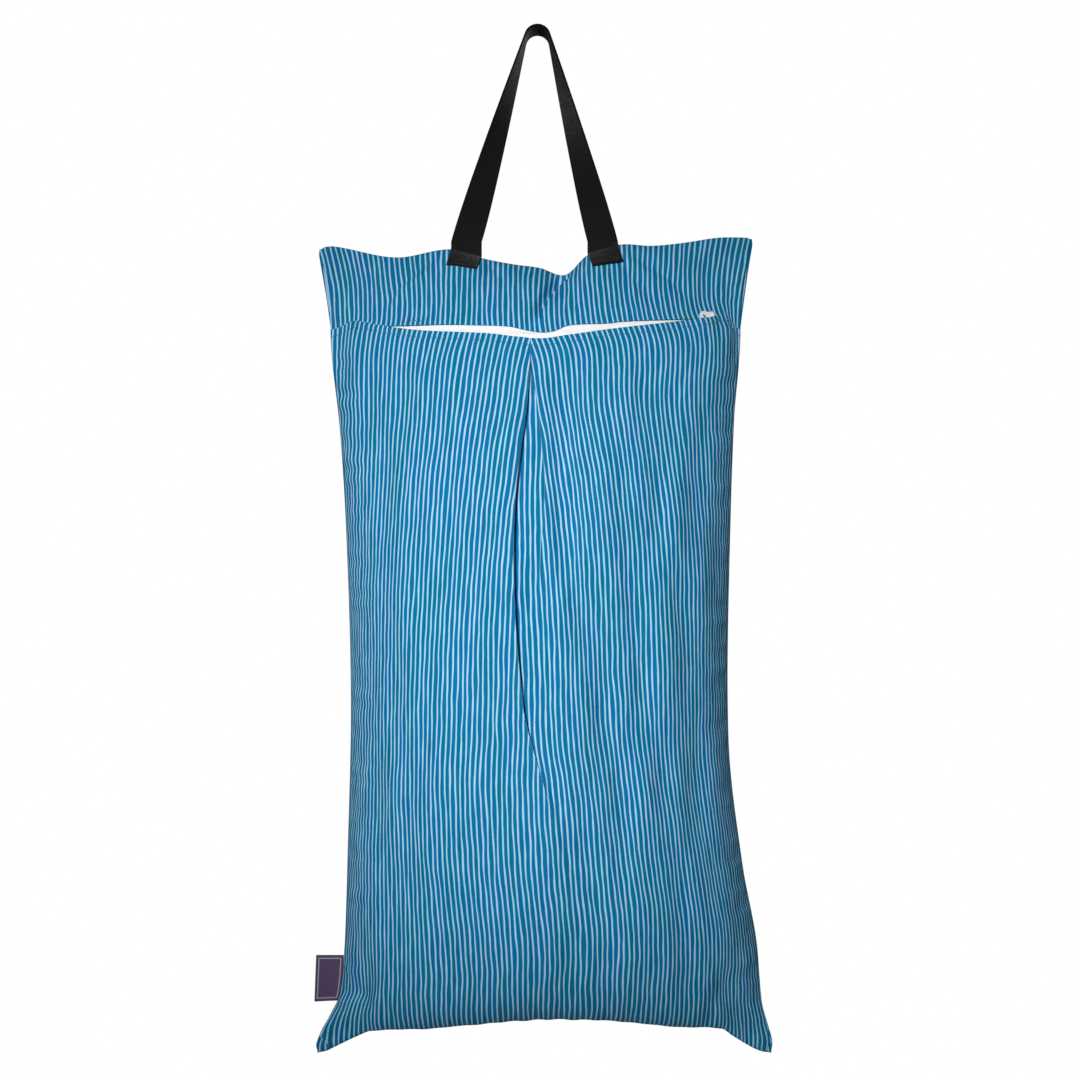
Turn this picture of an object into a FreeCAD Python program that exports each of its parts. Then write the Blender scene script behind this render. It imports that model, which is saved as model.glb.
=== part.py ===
import FreeCAD, Part
import math
import os

# A stuffed fabric bag that hangs by a webbing loop from a peg, with a zip across its front.
# Millimetres. The origin is the centre of the peg, +Z is up and the front faces -Y.

Vector = FreeCAD.Vector

# Webbing
STRAP_WIDTH = 25.4
STRAP_THICKNESS = 1.5
PEG_SEAT_RADIUS = 10.0
STRAP_BASE_LEFT = -61.0
STRAP_BASE_RIGHT = 56.0
FOLD_AXIS_Z = -172.0
FOLD_AXIS_Y = -2.1
TWIST_POWER = 0.75
STRAP_SECTIONS = 15
STRAP_END_GAP = 1.0
STRAP_OVERLAP = 17.0
STRAP_END_LEAN = 0.16
STRAP_END_SPREAD = 1.02
STRAP_END_CLEAR = 0.35
STRAP_END_POINTS = 15
STITCH_MARGIN = 2.8
UPPER_PANEL_LENGTH = 70.0
LOWER_PANEL_LENGTH = 590.0

# Outline of the bag in its seam plane: stations of (x, z) along the top and bottom edges,
# and of (z, x) down the two side seams
TOP_EDGE = [
    (-189, -177), (-175, -175.5), (-122, -185), (-75, -178), (-46, -186), (-20, -191),
    (2, -194), (24, -200), (43, -183), (71, -174), (98, -175), (125, -172.5), (156, -168),
    (186, -168),
]
BOTTOM_EDGE = [
    (-187, -869), (-157, -856), (-92, -846), (-32, -840), (6, -837.5), (62, -839),
    (118, -845), (158, -849), (184, -864), (202, -869),
]
LEFT_SEAM = [
    (-177, -189), (-238, -179), (-307, -172), (-410, -165), (-565, -160.5), (-705, -163.5),
    (-790, -167), (-820, -171.5), (-843, -182), (-869, -187),
]
RIGHT_SEAM = [
    (-168, 186), (-205, 180), (-273, 172), (-410, 166), (-600, 164), (-705, 176),
    (-770, 188), (-841, 197), (-869, 202),
]

# Fabric and stuffing
FABRIC_Y = 1.1
FABRIC_INSET = 0.85
SEAM_GAP = 0.05
UPPER_PANEL_OUT = 2.5
FRONT_DEPTH = 85.0
BACK_DEPTH = 82.0
FULLEST_AT = 0.62
TOP_POWER = 0.75
BOTTOM_POWER = 2.6
SIDE_ANGLE = math.radians(60)
EAR_SIZE = 48.0
BAG_MIDDLE_X = 4.0
BAG_MIDDLE_Z = -520.0

# Inverted box pleat, drawn as a valley between its two folds
PLEAT_TOP_Z = -262.0
PLEAT_BOTTOM_Z = -720.0
PLEAT_DEPTH = 10.0
PLEAT_HALF_WIDTH = 9.0
PLEAT_TOP_X = -5.0
PLEAT_BOW = 9.0
PLEAT_TURN_AT = 0.6
PLEAT_TURN = 16.0
PLEAT_OPENING_SHARE = 0.2
PLEAT_CLOSING_SHARE = 0.6

# Zip: its line is an arc, which the slider follows as a hinge about the arc's far centre
ZIP_MIDDLE = Vector(3.0, -42.0, -255.0)
ZIP_RADIUS = 326.0
ZIP_PLANE_TILT = math.radians(25.7)
ZIP_FACE_TILT = math.radians(22.0)
ZIP_CROSS_TILT = math.radians(1.1)
ZIP_SIDE_Z = -247.0
ZIP_REACH = 156.0
TAPE_REACH = 154.0
COIL_REACH = 153.0
SLOT_HALF = 4.6
SLOT_CLOSED = 0.5
SLOT_REACH = 158.0
SLOT_TAPER = 8.0
TAPE_INNER = 2.0
TAPE_OUTER = 13.0
TAPE_FRONT = -2.0
TAPE_BACK = -2.7
COIL_INNER = 0.6
COIL_OUTER = 2.2
COIL_FRONT = -1.3
COIL_BACK = -3.6
SLIDER_REST_X = 149.0
SLIDER_LENGTH = 10.0
SLIDER_HALF_WIDTH = 3.9
SLIDER_FRONT = 0.1
SLIDER_PLATE = 1.0
SLIDER_BACK = -4.9
FLANGE_INNER = 3.0
FLANGE_BACK = -1.75
POST_HALF = 0.35
POST_LENGTH = 2.0
POST_SHORT = 0.1
BAIL_PIN_OUT = 1.9
BAIL_PIN_RADIUS = 0.6
BAIL_HALF = 2.6
BAIL_CHEEK_LENGTH = 1.6
BAIL_CHEEK_THICKNESS = 1.0
PULL_EYE_RADIUS = 0.68
PULL_EYE_OUTER = 1.3
PULL_THICKNESS = 1.2
PULL_LENGTH = 13.0
PULL_END_RADIUS = 4.8
PULL_NECK_HALF = 1.6
PULL_HOLE_RADIUS = 1.9
PULL_HOLE_PAST = 0.6
STOP_LENGTH = 2.6
STOP_HALF = 2.6
STOP_INNER = 0.7
STOP_WRAP = 0.5
BOTTOM_STOP_X = -147.0
TOP_STOP_X = 156.0
TOPSTITCH_DOWN = 5.5
TOPSTITCH_WIDTH = 0.7
TOPSTITCH_PROUD = 0.35
THREAD_SUNK = 0.15

# Small steps over which slopes are measured: mm along the zip, and a share of a panel
SLOPE_STEP = 0.5
SHARE_STEP = 0.002

# Woven label in the left seam
LABEL_TOP_Z = -785.0
LABEL_HEIGHT = 39.0
LABEL_OUT_X = -190.5
LABEL_OUT_LEAN = 1.5
LABEL_THICKNESS = 0.8
LABEL_GAP = 0.5

# Overlocked edges inside the seams
ALLOWANCE_WIDTH = 7.0
ALLOWANCE_THICKNESS = 0.8
ALLOWANCE_INSET = 3.0
TOP_ALLOWANCE_INSET = 5.0

# How finely each skin is drawn: points across, points down, and how far they crowd to the ends
BACK_GRID = (64, 48)
BACK_CROWDING = (0.4, 0.8)
LOWER_GRID = (80, 60)
LOWER_CROWDING = (0.25, 0.7)
UPPER_GRID = (80, 9)
UPPER_CROWDING = (0.25, 0.0)
STITCH_POINTS = 61
STITCH_START = 0.02
ALLOWANCE_POINTS = 21
SIDE_ALLOWANCE_ENDS = (-275.0, -740.0)
BOTTOM_ALLOWANCE_ENDS = (-110.0, 120.0)
TOP_ALLOWANCE_ENDS = (-105.0, 105.0)

# Share of the side seams at which the slot meets them, the share of the lower panel that is
# drawn to the slot, and the shares at which that panel's faces are cut across
SLOT_SHARE = (ZIP_SIDE_Z - LEFT_SEAM[0][0]) / (LEFT_SEAM[-1][0] - LEFT_SEAM[0][0])
LIP_HOLD = 0.14
LIP_CUTS = (0.04, 0.1, 0.2)


def along(stations, at):
    """A smooth line through the stations, read at one place."""
    if stations[0][0] > stations[-1][0]:
        stations = stations[::-1]
    at = min(max(at, stations[0][0]), stations[-1][0])
    last = len(stations) - 2
    i = next(k for k in range(last + 1) if at <= stations[k + 1][0])
    x0, y0 = stations[i]
    x1, y1 = stations[i + 1]
    chord = (y1 - y0) / (x1 - x0)
    before = chord
    after = chord
    if i > 0:
        before = (y1 - stations[i - 1][1]) / (x1 - stations[i - 1][0])
    if i < last:
        after = (stations[i + 2][1] - y0) / (stations[i + 2][0] - x0)
    t = (at - x0) / (x1 - x0)
    width = x1 - x0
    return (
        y0 * (1 + 2 * t) * (1 - t) ** 2
        + y1 * t * t * (3 - 2 * t)
        + before * width * t * (1 - t) ** 2
        + after * width * t * t * (t - 1)
    )


def mix(a, b, t):
    return a + (b - a) * t


def smooth(t):
    t = min(max(t, 0.0), 1.0)
    return t * t * (3 - 2 * t)


def side_point(stations, q):
    """The point of a side seam at share q of its height, from the top."""
    z = mix(stations[0][0], stations[-1][0], q)
    return along(stations, z), z


def outline(u, q):
    """x and z in the seam plane at share u across and q down: a patch between four edges."""
    left_x, left_z = side_point(LEFT_SEAM, q)
    right_x, right_z = side_point(RIGHT_SEAM, q)
    top_x = mix(TOP_EDGE[0][0], TOP_EDGE[-1][0], u)
    bottom_x = mix(BOTTOM_EDGE[0][0], BOTTOM_EDGE[-1][0], u)
    top_z = along(TOP_EDGE, top_x)
    bottom_z = along(BOTTOM_EDGE, bottom_x)
    flat_top_z = mix(TOP_EDGE[0][1], TOP_EDGE[-1][1], u)
    flat_bottom_z = mix(BOTTOM_EDGE[0][1], BOTTOM_EDGE[-1][1], u)
    x = mix(left_x, right_x, u)
    z = mix(left_z, right_z, u) + mix(top_z - flat_top_z, bottom_z - flat_bottom_z, q)
    return x, z


def fullness(u, q):
    """How far the stuffing pushes the skin out, from 0 at the seams to 1."""
    if q < FULLEST_AT:
        down = (1 - (1 - q / FULLEST_AT) ** 2) ** TOP_POWER
    else:
        down = max(1 - ((q - FULLEST_AT) / (1 - FULLEST_AT)) ** BOTTOM_POWER, 0.0) ** 0.5
    side = 2 * u - 1
    rim = math.cos(SIDE_ANGLE)
    across = (math.sqrt(1 - (side * math.sin(SIDE_ANGLE)) ** 2) - rim) / (1 - rim)
    return down * max(across, 0.0)


def ear(x, z):
    """The bottom corners stay flat, as on a pillow."""
    flat = 1.0
    for corner_x, corner_z in (BOTTOM_EDGE[0], BOTTOM_EDGE[-1]):
        distance = math.hypot(x - corner_x, z - corner_z)
        flat *= 1 - math.exp(-((distance / EAR_SIZE) ** 2))
    return flat


def skin(u, q, depth):
    """A point of the outer face of the front skin (depth below 0) or of the back skin."""
    x, z = outline(u, q)
    out = abs(depth) * fullness(u, q) * ear(x, z)
    return Vector(x, math.copysign(FABRIC_Y + out, depth), z)


def behind(point, toward):
    """The inner face behind a point of a skin's outer face, a little further in from the seams."""
    away = Vector(point.x - BAG_MIDDLE_X, 0, point.z - BAG_MIDDLE_Z).normalize()
    return point - away * FABRIC_INSET - Vector(0, toward * (FABRIC_Y - SEAM_GAP), 0)


# The zip's frame: along runs to +X, inward points to the arc's centre, and the hinge axis is
# square to both
CROSS = Vector(math.cos(ZIP_CROSS_TILT), 0, math.sin(ZIP_CROSS_TILT))
INWARD = Vector(0, math.cos(ZIP_PLANE_TILT), math.sin(ZIP_PLANE_TILT))
INWARD = (INWARD - CROSS * INWARD.dot(CROSS)).normalize()
ZIP_AXIS = CROSS.cross(INWARD).normalize()
ZIP_CENTRE = ZIP_MIDDLE + INWARD * ZIP_RADIUS
FACE_DOWN = Vector(0, -math.sin(ZIP_FACE_TILT), -math.cos(ZIP_FACE_TILT))
FACE_DOWN = (FACE_DOWN - CROSS * FACE_DOWN.dot(CROSS)).normalize()
FACE_OUT = FACE_DOWN.cross(CROSS).normalize()


def zip_angle(x):
    return math.asin((x - ZIP_MIDDLE.x) / ZIP_RADIUS)


def turned(vector, angle):
    turn = FreeCAD.Rotation(ZIP_AXIS, math.degrees(angle))
    return turn.multVec(vector)


def zip_point(x, down=0.0, out=0.0):
    """A point of the zip at x, so far down its face and so far out from it."""
    start = ZIP_MIDDLE - ZIP_CENTRE + FACE_DOWN * down + FACE_OUT * out
    return ZIP_CENTRE + turned(start, zip_angle(x))


def slot_line(x, side_x):
    """The middle of the slot and the way down the face there, from the zip to the side seam."""
    toward = math.copysign(1.0, x - ZIP_MIDDLE.x)
    end_x = ZIP_MIDDLE.x + toward * ZIP_REACH
    if abs(x - ZIP_MIDDLE.x) <= ZIP_REACH:
        return zip_point(x), turned(FACE_DOWN, zip_angle(x))
    t = min((x - end_x) / (side_x - end_x), 1.0)
    a = zip_point(end_x)
    slope = (a - zip_point(end_x - toward * SLOPE_STEP)) * (abs(side_x - end_x) / SLOPE_STEP)
    b = Vector(side_x, -FABRIC_Y, ZIP_SIDE_Z)
    end_slope = Vector(side_x - end_x, 0.0, 0.0)
    point = (
        a * ((1 + 2 * t) * (1 - t) ** 2)
        + b * (t * t * (3 - 2 * t))
        + slope * (t * (1 - t) ** 2)
        + end_slope * (t * t * (t - 1))
    )
    way = turned(FACE_DOWN, zip_angle(end_x)) * (1 - t) + Vector(0, 0, -1) * t
    return point, way.normalize()


def slot_edge(u, below):
    """A point of the upper or lower edge of the slot, and the way down the face there."""
    left_x = along(LEFT_SEAM, ZIP_SIDE_Z)
    right_x = along(RIGHT_SEAM, ZIP_SIDE_Z)
    x = mix(left_x, right_x, u)
    side_x = right_x if x > ZIP_MIDDLE.x else left_x
    middle, way = slot_line(x, side_x)
    past = abs(x - ZIP_MIDDLE.x) - SLOT_REACH
    half = mix(SLOT_HALF, SLOT_CLOSED, smooth(past / SLOT_TAPER))
    return middle + way * (half if below else -half), way


def pleat_line(z):
    """x of the pleat's valley, which runs down and a little to the left, then to the right."""
    t = (z - PLEAT_TOP_Z) / (PLEAT_BOTTOM_Z - PLEAT_TOP_Z)
    bow = PLEAT_BOW * math.sin(math.pi * min(max(t, 0), 1))
    return PLEAT_TOP_X - bow + PLEAT_TURN * max(t - PLEAT_TURN_AT, 0.0)


def pleat_valley(x, z):
    t = (z - PLEAT_TOP_Z) / (PLEAT_BOTTOM_Z - PLEAT_TOP_Z)
    if not 0 < t < 1:
        return 0.0
    strength = smooth(t / PLEAT_OPENING_SHARE) * smooth((1 - t) / PLEAT_CLOSING_SHARE)
    away = (x - pleat_line(z)) / PLEAT_HALF_WIDTH
    return PLEAT_DEPTH * strength * math.exp(-away * away)


def lower_skin(u, s):
    """The front below the slot: the stuffed skin, drawn to the slot's edge near its top."""
    point = skin(u, mix(SLOT_SHARE, 1.0, s), -FRONT_DEPTH)
    point.y += pleat_valley(point.x, point.z)
    if s < LIP_HOLD:
        edge, way = slot_edge(u, True)
        start = skin(u, SLOT_SHARE, -FRONT_DEPTH)
        ahead = skin(u, mix(SLOT_SHARE, 1.0, SHARE_STEP), -FRONT_DEPTH)
        speed = (ahead - start) * (1 / SHARE_STEP)
        t = s / LIP_HOLD
        point += (edge - start) * ((1 + 2 * t) * (1 - t) ** 2)
        point += (way * speed.Length - speed) * (LIP_HOLD * t * (1 - t) ** 2)
    return point


def upper_skin(u, s):
    """The front above the slot, from the top seam to the slot's upper edge."""
    x, z = outline(u, 0.0)
    top = Vector(x, -FABRIC_Y, z)
    edge, way = slot_edge(u, False)
    bend = edge - way * ((edge - top).Length / 2)
    bend.y = min(bend.y, -UPPER_PANEL_OUT)
    return top * ((1 - s) ** 2) + bend * (2 * s * (1 - s)) + edge * (s * s)


def back_skin(u, s):
    return skin(u, s, BACK_DEPTH)


def spaced(count, crowding):
    """Shares from 0 to 1, closer together near both ends by crowding."""
    shares = []
    for i in range(count):
        t = i / (count - 1)
        shares.append(mix(t, (1 - math.cos(math.pi * t)) / 2, crowding))
    return shares


def surface(rows):
    face = Part.BSplineSurface()
    face.interpolate(rows)
    return face


def bands(whole, cuts):
    """The surface cut across at these shares of its length."""
    u0, u1, v0, v1 = whole.bounds()
    ends = [v0] + [mix(v0, v1, cut) for cut in cuts] + [v1]
    pieces = []
    for start, end in zip(ends, ends[1:]):
        piece = whole.copy()
        piece.segment(u0, u1, start, end)
        pieces.append(piece)
    return pieces


def edge_face(outer, inner, side):
    """The ruled face between the same edge of two surfaces: side 0 and 1 in u, 2 and 3 in v."""
    edges = []
    for whole in (outer, inner):
        line = whole.uIso if side < 2 else whole.vIso
        edges.append(line(whole.bounds()[side]).toShape())
    return Part.makeRuledSurface(*edges)


def shell_between(outer_rows, inner_rows, cuts=()):
    """A closed solid between two grids of points with the same shape."""
    outer = bands(surface(outer_rows), cuts)
    inner = bands(surface(inner_rows), cuts)
    faces = [piece.toShape() for piece in outer + inner]
    for first, second in zip(outer, inner):
        faces += [edge_face(first, second, 0), edge_face(first, second, 1)]
    faces += [edge_face(outer[0], inner[0], 2), edge_face(outer[-1], inner[-1], 3)]
    shell = Part.Shell(faces)
    shell.sewShape()
    solid = Part.Solid(shell)
    if solid.Volume < 0:
        solid.reverse()
    return solid


def panel(skin_of, toward, grid, crowding, cuts=()):
    """A panel of fabric from the seam round it to the skin's fullest point."""
    across = spaced(grid[0], crowding[0])
    down = spaced(grid[1], crowding[1])
    outer = [[skin_of(u, s) for s in down] for u in across]
    inner = [[behind(point, toward) for point in column] for column in outer]
    return shell_between(outer, inner, cuts)


def back_panel():
    return panel(back_skin, 1, BACK_GRID, BACK_CROWDING)


def front_lower_panel():
    """Its faces are cut across below the slot, where the fabric turns in to the zip."""
    return panel(lower_skin, -1, LOWER_GRID, LOWER_CROWDING, LIP_CUTS)


def front_upper_panel():
    return panel(upper_skin, -1, UPPER_GRID, UPPER_CROWDING)


def closed_line(points):
    return Part.makePolygon(points + [points[0]])


def strap_leg(side):
    """One leg of the loop, from the fold line up to the peg, turned a quarter turn on the way."""
    middle = PEG_SEAT_RADIUS + STRAP_THICKNESS / 2
    base = Vector(STRAP_BASE_RIGHT if side > 0 else STRAP_BASE_LEFT, FOLD_AXIS_Y, FOLD_AXIS_Z)
    reach = math.hypot(base.x, base.z)
    contact = math.atan2(base.z, abs(base.x)) + math.acos(middle / reach)
    top = Vector(side * middle * math.cos(contact), 0, middle * math.sin(contact))
    way = (top - base).normalize()
    lean = math.hypot(way.x, way.z) / way.z
    sections = []
    for i in range(STRAP_SECTIONS):
        t = i / (STRAP_SECTIONS - 1)
        centre = mix(base, top, t)
        turn = math.pi / 2 * t ** TWIST_POWER
        across = Vector(lean * math.cos(turn), side * -math.sin(turn), 0) * (STRAP_WIDTH / 2)
        out = way.cross(across).normalize() * (STRAP_THICKNESS / 2)
        left = centre - across
        right = centre + across
        corners = [right + out, left + out, left - out, right - out]
        sections.append(closed_line(corners))
    leg = Part.makeLoft(sections, True, True)
    knuckle = Part.makeCylinder(
        STRAP_THICKNESS / 2,
        STRAP_WIDTH * lean,
        base - Vector(STRAP_WIDTH * lean / 2, 0, 0),
        Vector(1, 0, 0),
    )
    return leg.fuse(knuckle), contact


def strap_loop():
    left, left_contact = strap_leg(-1)
    right, right_contact = strap_leg(1)
    half = STRAP_WIDTH / 2
    start = Vector(math.cos(right_contact), 0, math.sin(right_contact))
    inner = start * PEG_SEAT_RADIUS
    outer = start * (PEG_SEAT_RADIUS + STRAP_THICKNESS)
    wide = Vector(0, half, 0)
    section = Part.Face(closed_line([inner - wide, outer - wide, outer + wide, inner + wide]))
    sweep = 180 - math.degrees(left_contact + right_contact)
    arch = section.revolve(Vector(0, 0, 0), Vector(0, -1, 0), sweep)
    return arch.fuse([left, right]).removeSplitter()


def sewn_point(side, across, below):
    """The front face of a sewn strap end, so far across it and so far below the top seam."""
    base = STRAP_BASE_RIGHT if side > 0 else STRAP_BASE_LEFT
    x = base + side * below * STRAP_END_LEAN + across
    u = (x - TOP_EDGE[0][0]) / (TOP_EDGE[-1][0] - TOP_EDGE[0][0])
    out = Vector(0, -STRAP_END_CLEAR - STRAP_THICKNESS, 0)
    return upper_skin(u, below / UPPER_PANEL_LENGTH) + out


def strap_end(side):
    """The sewn end: it lies on the front from below the top seam, and stands up to the fold line."""
    front = []
    back = []
    thick = Vector(0, STRAP_THICKNESS, 0)
    for i in range(STRAP_END_POINTS):
        share = i / (STRAP_END_POINTS - 1) - 0.5
        across = share * STRAP_WIDTH * STRAP_END_SPREAD
        column = [sewn_point(side, across, STRAP_OVERLAP * k / 4) for k in (4, 3, 2, 1, 0)]
        last = column[-1]
        top = Vector(last.x, FOLD_AXIS_Y - STRAP_THICKNESS / 2, FOLD_AXIS_Z - STRAP_END_GAP)
        column.append(mix(last, top, 0.5))
        column.append(top)
        front.append(column)
        back.append([point + thick for point in column])
    return shell_between(front, back)


def thread_line(side, start, end):
    """A raised line of thread on a sewn end, between two places (across, below)."""
    outer = []
    inner = []
    run = Vector(end[0] - start[0], end[1] - start[1], 0)
    square = Vector(-run.y, run.x, 0).normalize() * (TOPSTITCH_WIDTH / 2)
    for k in (-1, 1):
        row = []
        for i in range(5):
            t = i / 4
            across = mix(start[0], end[0], t) + square.x * k
            below = mix(start[1], end[1], t) + square.y * k
            row.append(sewn_point(side, across, below))
        outer.append([point - Vector(0, TOPSTITCH_PROUD, 0) for point in row])
        inner.append([point + Vector(0, THREAD_SUNK, 0) for point in row])
    return shell_between(outer, inner)


def strap_stitching(side):
    """A box of thread with a cross in it."""
    half = STRAP_WIDTH / 2 - STITCH_MARGIN
    high = STITCH_MARGIN
    low = STRAP_OVERLAP - STITCH_MARGIN
    corners = [(-half, high), (half, high), (half, low), (-half, low)]
    lines = []
    for i in range(4):
        lines.append(thread_line(side, corners[i], corners[(i + 1) % 4]))
    lines.append(thread_line(side, corners[0], corners[2]))
    lines.append(thread_line(side, corners[1], corners[3]))
    return lines[0].fuse(lines[1:])


def zip_strip(low, high, front, back, start_x, end_x):
    """A strip with a four-cornered section, swept along the zip's arc."""
    corners = []
    for down, out in ((low, back), (high, back), (high, front), (low, front)):
        corners.append(zip_point(start_x, down, out))
    section = Part.Face(closed_line(corners))
    sweep = math.degrees(zip_angle(end_x) - zip_angle(start_x))
    return section.revolve(ZIP_CENTRE, ZIP_AXIS, sweep)


def zip_tape(below):
    side = 1 if below else -1
    left = ZIP_MIDDLE.x - TAPE_REACH
    right = ZIP_MIDDLE.x + TAPE_REACH
    return zip_strip(side * TAPE_INNER, side * TAPE_OUTER, TAPE_FRONT, TAPE_BACK, left, right)


def zip_coil(below):
    side = 1 if below else -1
    left = ZIP_MIDDLE.x - COIL_REACH
    right = ZIP_MIDDLE.x + COIL_REACH
    return zip_strip(side * COIL_INNER, side * COIL_OUTER, COIL_FRONT, COIL_BACK, left, right)


def placed(shape, axes, origin):
    """Put a shape drawn along X, Y and Z on three other square axes."""
    along_x, along_y, along_z = axes
    matrix = FreeCAD.Matrix(
        along_x.x, along_y.x, along_z.x, origin.x,
        along_x.y, along_y.y, along_z.y, origin.y,
        along_x.z, along_y.z, along_z.z, origin.z,
        0, 0, 0, 1,
    )
    return shape.transformGeometry(matrix)


def on_zip(shape, x):
    """Put a shape on the zip at x: its X runs along the zip, its Y up the face and its Z outward."""
    angle = zip_angle(x)
    axes = [turned(CROSS, angle), turned(FACE_DOWN, angle) * -1.0, turned(FACE_OUT, angle)]
    return placed(shape, axes, zip_point(x))


def zip_stop(x, low, high):
    """A stop clamped round the coil, between two distances up the face."""
    back = COIL_BACK - STOP_WRAP
    front = COIL_FRONT + STOP_WRAP
    corner = Vector(-STOP_LENGTH / 2, low, back)
    return on_zip(Part.makeBox(STOP_LENGTH, high - low, front - back, corner), x)


def local_slider():
    """The slider along X, with its front towards +Z and its divider at its +X end."""
    half = SLIDER_HALF_WIDTH
    length = SLIDER_LENGTH
    front_back = SLIDER_FRONT - SLIDER_PLATE
    top = Part.makeBox(length, 2 * half, SLIDER_PLATE, Vector(-length / 2, -half, front_back))
    bottom = Part.makeBox(length, 2 * half, SLIDER_PLATE, Vector(-length / 2, -half, SLIDER_BACK))
    pieces = [bottom]
    for side in (-1, 1):
        near = half if side > 0 else -half
        wall = half - FLANGE_INNER
        y = near - wall if side > 0 else near
        deep = front_back - FLANGE_BACK
        pieces.append(Part.makeBox(length, wall, deep, Vector(-length / 2, y, FLANGE_BACK)))
    post_height = SLIDER_FRONT - SLIDER_BACK - 2 * POST_SHORT
    post_corner = Vector(length / 2 - POST_LENGTH, -POST_HALF, SLIDER_BACK + POST_SHORT)
    pieces.append(Part.makeBox(POST_LENGTH, 2 * POST_HALF, post_height, post_corner))
    for side in (-1, 1):
        y = side * BAIL_HALF - BAIL_CHEEK_THICKNESS / 2
        height = BAIL_PIN_OUT + BAIL_PIN_RADIUS - SLIDER_FRONT
        corner = Vector(-BAIL_CHEEK_LENGTH / 2, y, SLIDER_FRONT)
        pieces.append(Part.makeBox(BAIL_CHEEK_LENGTH, BAIL_CHEEK_THICKNESS, height, corner))
    pin = Part.makeCylinder(
        BAIL_PIN_RADIUS, 2 * BAIL_HALF, Vector(0, -BAIL_HALF, BAIL_PIN_OUT), Vector(0, 1, 0)
    )
    pieces.append(pin)
    return top.fuse(pieces).removeSplitter()


def local_pull():
    """The pull lying over the closed zip, from its eye round the pin to its round end at -X."""
    low = BAIL_PIN_OUT - PULL_THICKNESS / 2
    centre = PULL_END_RADIUS - PULL_LENGTH
    neck = PULL_NECK_HALF
    tip = math.acos(min((PULL_END_RADIUS - neck) / (-centre), 1.0))
    edge_x = centre + PULL_END_RADIUS * math.cos(tip)
    edge_y = PULL_END_RADIUS * math.sin(tip)
    outline_edges = [
        Part.LineSegment(Vector(0, -neck, low), Vector(0, neck, low)).toShape(),
        Part.LineSegment(Vector(0, neck, low), Vector(edge_x, edge_y, low)).toShape(),
        Part.Arc(
            Vector(edge_x, edge_y, low),
            Vector(centre - PULL_END_RADIUS, 0, low),
            Vector(edge_x, -edge_y, low),
        ).toShape(),
        Part.LineSegment(Vector(edge_x, -edge_y, low), Vector(0, -neck, low)).toShape(),
    ]
    blade = Part.Face(Part.Wire(outline_edges)).extrude(Vector(0, 0, PULL_THICKNESS))
    eye = Part.makeCylinder(PULL_EYE_OUTER, 2 * neck, Vector(0, -neck, BAIL_PIN_OUT), Vector(0, 1, 0))
    hole = Part.makeCylinder(
        PULL_HOLE_RADIUS, PULL_THICKNESS * 3, Vector(centre - PULL_HOLE_PAST, 0, low - PULL_THICKNESS)
    )
    bore = Part.makeCylinder(
        PULL_EYE_RADIUS, 4 * neck, Vector(0, -2 * neck, BAIL_PIN_OUT), Vector(0, 1, 0)
    )
    return blade.fuse(eye).cut(hole).cut(bore).removeSplitter()


def zip_topstitch():
    """A raised line of thread below the slot, from seam to seam."""
    outer = []
    inner = []
    for share in spaced(STITCH_POINTS, 0.0):
        u = mix(STITCH_START, 1 - STITCH_START, share)
        outer_row = []
        inner_row = []
        for step in (0.0, 0.5, 1.0):
            down = TOPSTITCH_DOWN + TOPSTITCH_WIDTH * step
            point = lower_skin(u, down / LOWER_PANEL_LENGTH)
            outer_row.append(point + Vector(0, -TOPSTITCH_PROUD, 0))
            inner_row.append(point + Vector(0, THREAD_SUNK, 0))
        outer.append(outer_row)
        inner.append(inner_row)
    return shell_between(outer, inner)


def label_line(z):
    """x of the left seam beside the label, as a straight line."""
    top = along(LEFT_SEAM, LABEL_TOP_Z)
    bottom = along(LEFT_SEAM, LABEL_TOP_Z - LABEL_HEIGHT)
    return mix(top, bottom, (LABEL_TOP_Z - z) / LABEL_HEIGHT)


def side_label():
    """The label stands out of the seam; its sewn edge is round, so that it can flap."""
    low_z = LABEL_TOP_Z - LABEL_HEIGHT
    half = LABEL_THICKNESS / 2
    top = Vector(label_line(LABEL_TOP_Z) - LABEL_GAP - half, 0, LABEL_TOP_Z)
    low = Vector(label_line(low_z) - LABEL_GAP - half, 0, low_z)
    top_out = Vector(LABEL_OUT_X, 0, LABEL_TOP_Z)
    low_out = Vector(LABEL_OUT_X - LABEL_OUT_LEAN, 0, low_z)
    front = [corner - Vector(0, half, 0) for corner in (top, top_out, low_out, low)]
    plate = Part.Face(closed_line(front)).extrude(Vector(0, 2 * half, 0))
    sewn_edge = Part.makeCylinder(half, (low - top).Length, top, low - top)
    return plate.fuse(sewn_edge).removeSplitter()


def seam_allowance(points, inward, inset):
    """A flat strip inside a seam, in the seam plane, from its outer line inward."""
    near = [point + inward * inset for point in points]
    far = [point + inward * (inset + ALLOWANCE_WIDTH) for point in points]
    half = ALLOWANCE_THICKNESS / 2
    wire = Part.makePolygon(near + far[::-1] + [near[0]])
    face = Part.Face(wire)
    face.translate(Vector(0, -half, 0))
    return face.extrude(Vector(0, 2 * half, 0))


def side_allowance(stations, way):
    points = []
    for share in spaced(ALLOWANCE_POINTS, 0.0):
        z = mix(*SIDE_ALLOWANCE_ENDS, share)
        points.append(Vector(along(stations, z), 0, z))
    return seam_allowance(points, Vector(way, 0, 0), ALLOWANCE_INSET)


def edge_allowance(stations, way, ends, inset):
    points = []
    for share in spaced(ALLOWANCE_POINTS, 0.0):
        x = mix(*ends, share)
        points.append(Vector(x, 0, along(stations, x)))
    return seam_allowance(points, Vector(0, 0, way), inset)


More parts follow.
